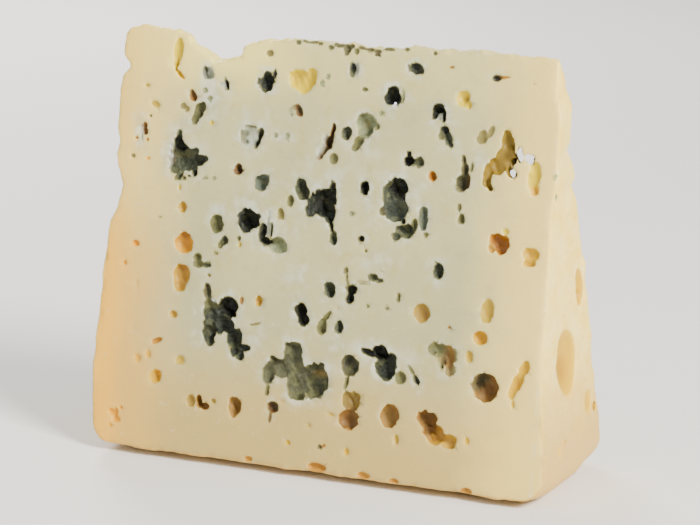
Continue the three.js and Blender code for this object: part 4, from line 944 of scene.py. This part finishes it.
class Value:
    """A number from a shader socket. Arithmetic on it adds Math nodes."""

    def __init__(self, shader, socket):
        self.shader = shader
        self.socket = socket

    def maths(self, operation, *operands):
        return self.shader.node("ShaderNodeMath", {"operation": operation}, dict(enumerate(operands)))

    def __add__(self, other):
        return self.maths("ADD", self, other)

    __radd__ = __add__

    def __sub__(self, other):
        return self.maths("SUBTRACT", self, other)

    def __rsub__(self, other):
        return self.maths("SUBTRACT", other, self)

    def __mul__(self, other):
        return self.maths("MULTIPLY", self, other)

    __rmul__ = __mul__

    def between(self, low, high):
        """0 below low, 1 above high, and a smooth rise between. Low may be the larger of the two."""
        return self.shader.node(
            "ShaderNodeMapRange",
            {"interpolation_type": "SMOOTHSTEP"},
            {"Value": self, "From Min": low, "From Max": high},
        )


class Shader:
    """A material's nodes, made one at a time from Python."""

    def __init__(self, name):
        self.material = bpy.data.materials.new(name)
        self.material.use_nodes = True
        self.tree = self.material.node_tree
        self.tree.nodes.clear()

    def node(self, kind, settings=None, inputs=None, output=0):
        made = self.tree.nodes.new(kind)
        for setting, value in (settings or {}).items():
            setattr(made, setting, value)
        for key, value in (inputs or {}).items():
            socket = made.inputs[key]
            if isinstance(value, Value):
                self.tree.links.new(value.socket, socket)
            else:
                socket.default_value = value
        return Value(self, made.outputs[output]) if made.outputs else None

    def mix(self, share, first, second, blend="MIX"):
        """A colour between two others. A colour is a Value or a tuple of linear values."""
        inputs = {0: share, 6: self.colour(first), 7: self.colour(second)}
        settings = {"data_type": "RGBA", "blend_type": blend, "clamp_factor": True}
        return self.node("ShaderNodeMix", settings, inputs, output=2)

    @staticmethod
    def colour(value):
        return value if isinstance(value, Value) else (*value[:3], 1)

    def attribute(self, name, output="Fac"):
        return self.node("ShaderNodeAttribute", {"attribute_name": name}, output=output)

    def noise(self, place, size, detail=2, roughness=0.5, distortion=0):
        inputs = {
            "Vector": place,
            "Scale": 1 / size,
            "Detail": detail,
            "Roughness": roughness,
            "Distortion": distortion,
        }
        return self.node("ShaderNodeTexNoise", None, inputs)


def cheese_material(colours):
    """Moist ivory paste, yellower towards the outside, with mould and ochre in the hollows."""
    shader = Shader("blue_cheese_paste")
    metres = shader.node("ShaderNodeTexCoord", output="Object")
    place = shader.node("ShaderNodeVectorMath", {"operation": "SCALE"}, {0: metres, "Scale": 1 / MM})
    drawn = shader.node("ShaderNodeVectorMath", {"operation": "MULTIPLY"}, {0: place, 1: (0.35, 1, 1.6)})

    stained = shader.attribute("stained")
    haze = shader.attribute("haze")
    velvet = shader.attribute("velvet")
    depth = shader.attribute("depth")
    inward = shader.attribute("inward")
    height = shader.node("ShaderNodeSeparateXYZ", None, {0: place}, output=2)
    along_axis = shader.node("ShaderNodeSeparateXYZ", None, {0: place}, output=0)
    left = along_axis.between(15, -25)
    stain = shader.attribute("stain", output="Color")

    broad = shader.noise(place, 24, detail=2)
    patches = shader.noise(place, 6, detail=3, roughness=0.6)
    curds = shader.noise(place, 1.9, detail=3, roughness=0.6)
    grain = shader.noise(place, 0.55, detail=2)
    smears = shader.noise(drawn, 2.6, detail=2, roughness=0.55)
    clouds = shader.noise(place, 2.6, detail=2)
    smudges = shader.noise(place, 4.4, detail=4, roughness=0.62)

    paste = shader.mix(broad.between(0.35, 0.68), colours.paste, colours.paste_light)
    paste = shader.mix(patches.between(0.5, 0.78) * 0.45, paste, colours.paste_grey)
    smudged = smudges.between(0.55, 0.72) * along_axis.between(-44, -30) * along_axis.between(36, 22)
    paste = shader.mix(smudged * 0.5, paste, colours.smudge)
    foot = (height + 6 * (broad - 0.5)).between(36, 8)
    paste = shader.mix(foot * 0.8, paste, colours.foot)
    # Brighter, yellower paste under the crest, most on the lump at the left: painted glow of light through
    # the thin tip.
    top = (height + 6 * (patches - 0.5)).between(78, 92)
    lump = along_axis.between(-4, -24)
    paste = shader.mix(top * (0.25 + 0.65 * lump), paste, colours.crest)
    beside = 55 - along_axis.maths("ABSOLUTE", along_axis)
    margin = (beside + 9 * (patches - 0.5)).between(24, 5)
    low = height.between(64, 40)
    paste = shader.mix(margin * 0.8, paste, shader.mix(left * low, colours.margin, colours.margin_left))
    # Painted glow: light through the thin rounded left edge, put in as a yellow band on the left side only.
    band = (beside + 2.4 * (patches - 0.5)).between(9, 1)
    paste = shader.mix(band * left * (0.3 + 0.55 * low), paste, colours.edge_glow)
    # A pale upright stripe close to the right edge of the front, in the colour of the fat flecks.
    from_stripe = along_axis + 1.2 * (broad - 0.5) - PALE_STRIPE
    stripe = from_stripe.between(-0.7, -0.1) * from_stripe.between(0.6, 0.1) * patches.between(0.35, 0.6)
    paste = shader.mix(stripe * 0.5, paste, colours.fleck)
    natural = (inward + 0.6 * (curds - 0.5)).between(0.75, 0.15)
    mottled = shader.mix(patches.between(0.35, 0.65), colours.outside, colours.outside_pale)
    mottled = shader.mix(smears.between(0.55, 0.75) * 0.5, mottled, colours.outside_yellow)
    mottled = shader.mix(foot * 0.9, mottled, colours.outside_foot)
    paste = shader.mix(natural, paste, mottled)
    mist_colour = shader.mix(clouds.between(0.4, 0.62), colours.haze_grey, colours.haze)
    mist = (haze + 0.9 * (clouds - 0.5)).between(0.12, 0.9)
    paste = shader.mix(mist * 0.7, paste, mist_colour)
    flecks = curds.between(0.62, 0.78) * 0.35
    paste = shader.mix(flecks, paste, colours.fleck)

    uneven = stained + 0.4 * (grain - 0.5) + 0.25 * (curds - 0.5)
    covered = uneven.between(0.3, 0.62)
    dusted = shader.mix(grain.between(0.3, 0.75) * 0.35 * velvet, stain, colours.bloom)
    dusted = shader.mix(clouds.between(0.48, 0.62) * 0.45 * velvet, dusted, colours.olive_bloom)
    darker = curds.between(0.45, 0.7) * 0.45 * velvet
    dusted = shader.mix(darker, dusted, colours.deep_mould, blend="MULTIPLY")
    surface = shader.mix(covered, paste, dusted)

    roughness = 0.42 + 0.16 * curds + 0.3 * covered * velvet
    bump_height = 0.05 * grain + 0.12 * curds + 0.2 * covered * velvet * grain
    bumps = shader.node("ShaderNodeBump", None, {"Strength": 0.6, "Distance": MM, "Height": bump_height})
    principled = shader.node(
        "ShaderNodeBsdfPrincipled",
        None,
        {
            "Base Color": surface,
            "Roughness": roughness,
            "Normal": bumps,
            "IOR": 1.38,
            "Subsurface Weight": 0.25,
            "Subsurface Radius": (1, 0.8, 0.55),
            "Subsurface Scale": 0.001,
        },
    )
    shader.node("ShaderNodeOutputMaterial", None, {"Surface": principled})
    return shader.material


def length(name, description, metres):
    kind = {"subtype": "DISTANCE", "unit": "LENGTH"}
    return FloatProperty(name=name, description=description, default=metres, **kind)


def tint(name, description, screen):
    kind = {"subtype": "COLOR", "size": 3}
    return FloatVectorProperty(name=name, description=description, default=linear(screen), **kind)


def power(name, description, watts):
    return FloatProperty(name=name, description=description, default=watts, unit="POWER")


class BlueCheeseSizes(bpy.types.PropertyGroup):
    """The driving sizes of the wedge."""

    wheel_radius: length("Wheel radius", "Radius of the wheel that the wedge is cut from", 0.0975)
    wheel_height: length("Wheel height", "Height of the wheel, from flat to flat", 0.111)
    slice_angle: FloatProperty(
        name="Slice angle",
        description="Angle between the two cuts",
        default=math.radians(22.5),
        subtype="ANGLE",
        unit="ROTATION",
    )
    tip_thickness: length("Tip thickness", "What is left where the two cuts would meet", 0.0012)
    crest_height: length("Crest height", "Height above which the tip is crumbled away", 0.0945)
    rest_width: length("Resting width", "Width of the flat that the rind has settled onto", 0.01)
    rim_radius: length("Rim radius", "Round edge between the wheel's flats and its rind", 0.0055)
    edge_radius: length("Edge radius", "Softness of the cut edges", 0.0006)
    surface_swell: length("Surface swell", "Soft unevenness of the cut faces", 0.0003)
    grid_step: length("Grid step", "Spacing of the field that the skin is made from", 0.00032)
    adaptivity: FloatProperty(
        name="Adaptivity", description="How much larger faces may be where the skin is even", default=0.09
    )


class BlueCheeseColours(bpy.types.PropertyGroup):
    """The colours of the paste and of the outside."""

    paste: tint("Paste", "Ivory of the paste", (181, 175, 126))
    paste_light: tint("Light paste", "Paler zones of the paste", (194, 185, 131))
    paste_grey: tint("Grey paste", "Zones with mould below the surface", (164, 160, 120))
    smudge: tint("Smudges", "Yellow-olive smudges in the paste", (178, 166, 88))
    foot: tint("Foot", "Yellower paste above the rind", (194, 164, 86))
    # Painted glow: the light through the thin tip, put in as a brighter paste under the crest.
    crest: tint("Crest", "Brighter paste below the crest", (251, 230, 128))
    margin: tint("Margin", "Paste near the right flat", (244, 214, 118))
    margin_left: tint("Left margin", "Paste near the left flat", (230, 180, 76))
    # Painted glow of light through the thin left edge.
    edge_glow: tint("Edge band", "Paste right at the left flat", (250, 188, 50))
    outside: tint("Outside", "Natural surface of the wheel", (244, 208, 94))
    outside_pale: tint("Pale outside", "Pale mottling of the natural surface", (248, 222, 128))
    outside_yellow: tint("Yellow outside", "Yellow streaks of the natural surface", (234, 186, 76))
    outside_foot: tint("Outside foot", "Natural surface above the rind", (206, 166, 84))
    haze: tint("Haze", "Bluish white haze round the mould", (202, 207, 188))
    haze_grey: tint("Grey haze", "Blue-grey haze round the mould", (162, 167, 146))
    fleck: tint("Flecks", "White flecks of fat", (218, 210, 168))
    bloom: tint("Bloom", "Dust of the mould", (108, 113, 88))
    olive_bloom: tint("Olive bloom", "Olive patches in the mould", (104, 104, 64))
    deep_mould: tint("Deep mould", "Darkest mould", (140, 142, 130))


class BlueCheeseStage(bpy.types.PropertyGroup):
    """The floor, the light and the camera."""

    floor_colour: tint("Floor", "Colour of the floor", (238, 236, 232))
    key_power: power("Key light", "Power of the key light", 26)
    fill_power: power("Fill light", "Power of the fill light", 2.6)
    back_power: power("Back light", "Power of the back light", 8.5)
    sky: FloatProperty(name="Sky", description="Strength of the light from all round", default=0.6)


class MESH_OT_blue_cheese(bpy.types.Operator):
    """Build the wedge of blue cheese in place of the plain solid"""

    bl_idname = "mesh.blue_cheese"
    bl_label = "Blue Cheese Wedge"

    def execute(self, context):
        sizes = context.scene.blue_cheese_sizes
        form = WedgeForm(sizes)
        carving = Carving(form)
        grid = Grid(form, sizes.grid_step / MM)
        field = carved_field(form, carving, grid)
        vertices, faces = skin_mesh(field, grid, sizes.adaptivity)
        if not faces:
            raise RuntimeError("The field of the cheese has no surface")
        numbers, colour = paint(form, carving, vertices)
        mesh = new_mesh("blue_cheese", vertices, faces, numbers, colour)
        mesh.materials.append(cheese_material(context.scene.blue_cheese_colours))
        piece = bpy.data.objects.new("blue_cheese", mesh)
        context.scene.collection.objects.link(piece)
        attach(piece, BODY)
        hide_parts(NODE)
        return {"FINISHED"}


# The camera as the photograph was taken: where it looks, from which side, how high, how far, and its lens
CAMERA_TARGET = (2.05, 0, 45.6)
CAMERA_AZIMUTH = 24.6
CAMERA_ELEVATION = 13.25
CAMERA_DISTANCE = 561.2
CAMERA_LENS = 128.57


def facing(place, target):
    return (Vector(target) - Vector(place)).to_track_quat("-Z", "Y")


def area_light(context, name, place, target, size, power, colour):
    data = bpy.data.lights.new(name, "AREA")
    data.shape = "DISK"
    data.size = size
    data.energy = power
    data.color = colour
    light = bpy.data.objects.new(name, data)
    light.location = place
    light.rotation_mode = "QUATERNION"
    light.rotation_quaternion = facing(place, target)
    context.scene.collection.objects.link(light)


class SCENE_OT_blue_cheese_stage(bpy.types.Operator):
    """Add a pale floor, soft light and the camera"""

    bl_idname = "scene.blue_cheese_stage"
    bl_label = "Stage"

    def execute(self, context):
        stage = context.scene.blue_cheese_stage
        self.floor(context, stage)
        self.lights(context, stage)
        self.camera(context)
        return {"FINISHED"}

    def floor(self, context, stage):
        half = 3
        mesh = bpy.data.meshes.new("floor")
        corners = [(-half, -half, 0), (half, -half, 0), (half, half, 0), (-half, half, 0)]
        mesh.from_pydata(corners, [], [(0, 1, 2, 3)])
        shader = Shader("pale_floor")
        principled = shader.node(
            "ShaderNodeBsdfPrincipled",
            None,
            {"Base Color": (*stage.floor_colour, 1), "Roughness": 0.7},
        )
        shader.node("ShaderNodeOutputMaterial", None, {"Surface": principled})
        mesh.materials.append(shader.material)
        floor = bpy.data.objects.new("floor", mesh)
        context.scene.collection.objects.link(floor)

    def lights(self, context, stage):
        world = bpy.data.worlds.new("studio")
        world.use_nodes = True
        world.node_tree.nodes["Background"].inputs["Color"].default_value = (1, 1, 1, 1)
        world.node_tree.nodes["Background"].inputs["Strength"].default_value = stage.sky
        context.scene.world = world
        middle = (0, 0, 0.045)
        area_light(context, "key", (0.8, -0.36, 0.62), middle, 0.36, stage.key_power, (1, 0.97, 0.92))
        area_light(context, "back", (-0.6, 0.7, 0.5), middle, 0.4, stage.back_power, (1, 0.97, 0.92))
        area_light(context, "fill", (-0.7, -0.6, 0.4), middle, 0.6, stage.fill_power, (0.96, 0.98, 1))

    def camera(self, context):
        data = bpy.data.cameras.new("camera")
        data.lens = CAMERA_LENS
        data.sensor_width = 36
        data.clip_end = 20
        camera = bpy.data.objects.new("camera", data)
        azimuth, elevation = math.radians(CAMERA_AZIMUTH), math.radians(CAMERA_ELEVATION)
        away = Vector((
            math.sin(azimuth) * math.cos(elevation),
            -math.cos(azimuth) * math.cos(elevation),
            math.sin(elevation),
        ))
        target = Vector(CAMERA_TARGET) * MM
        camera.location = target + away * CAMERA_DISTANCE * MM
        camera.rotation_mode = "QUATERNION"
        camera.rotation_quaternion = facing(camera.location, target)
        context.scene.collection.objects.link(camera)
        context.scene.camera = camera


class VIEW3D_PT_blue_cheese(bpy.types.Panel):
    bl_label = "Blue Cheese"
    bl_space_type = "VIEW_3D"
    bl_region_type = "UI"
    bl_category = "Blue Cheese"

    def draw(self, context):
        scene = context.scene
        for group in (scene.blue_cheese_sizes, scene.blue_cheese_colours, scene.blue_cheese_stage):
            column = self.layout.column()
            for name in group.__annotations__:
                column.prop(group, name)
        self.layout.operator(MESH_OT_blue_cheese.bl_idname)
        self.layout.operator(SCENE_OT_blue_cheese_stage.bl_idname)


CLASSES = (
    BlueCheeseSizes,
    BlueCheeseColours,
    BlueCheeseStage,
    MESH_OT_blue_cheese,
    SCENE_OT_blue_cheese_stage,
    VIEW3D_PT_blue_cheese,
)


def register():
    for cls in CLASSES:
        bpy.utils.register_class(cls)
    bpy.types.Scene.blue_cheese_sizes = PointerProperty(type=BlueCheeseSizes)
    bpy.types.Scene.blue_cheese_colours = PointerProperty(type=BlueCheeseColours)
    bpy.types.Scene.blue_cheese_stage = PointerProperty(type=BlueCheeseStage)


def unregister():
    del bpy.types.Scene.blue_cheese_stage
    del bpy.types.Scene.blue_cheese_colours
    del bpy.types.Scene.blue_cheese_sizes
    for cls in reversed(CLASSES):
        bpy.utils.unregister_class(cls)


def main():
    register()
    bpy.ops.mesh.blue_cheese()
    bpy.ops.scene.blue_cheese_stage()


if __name__ == "__main__":
    main()
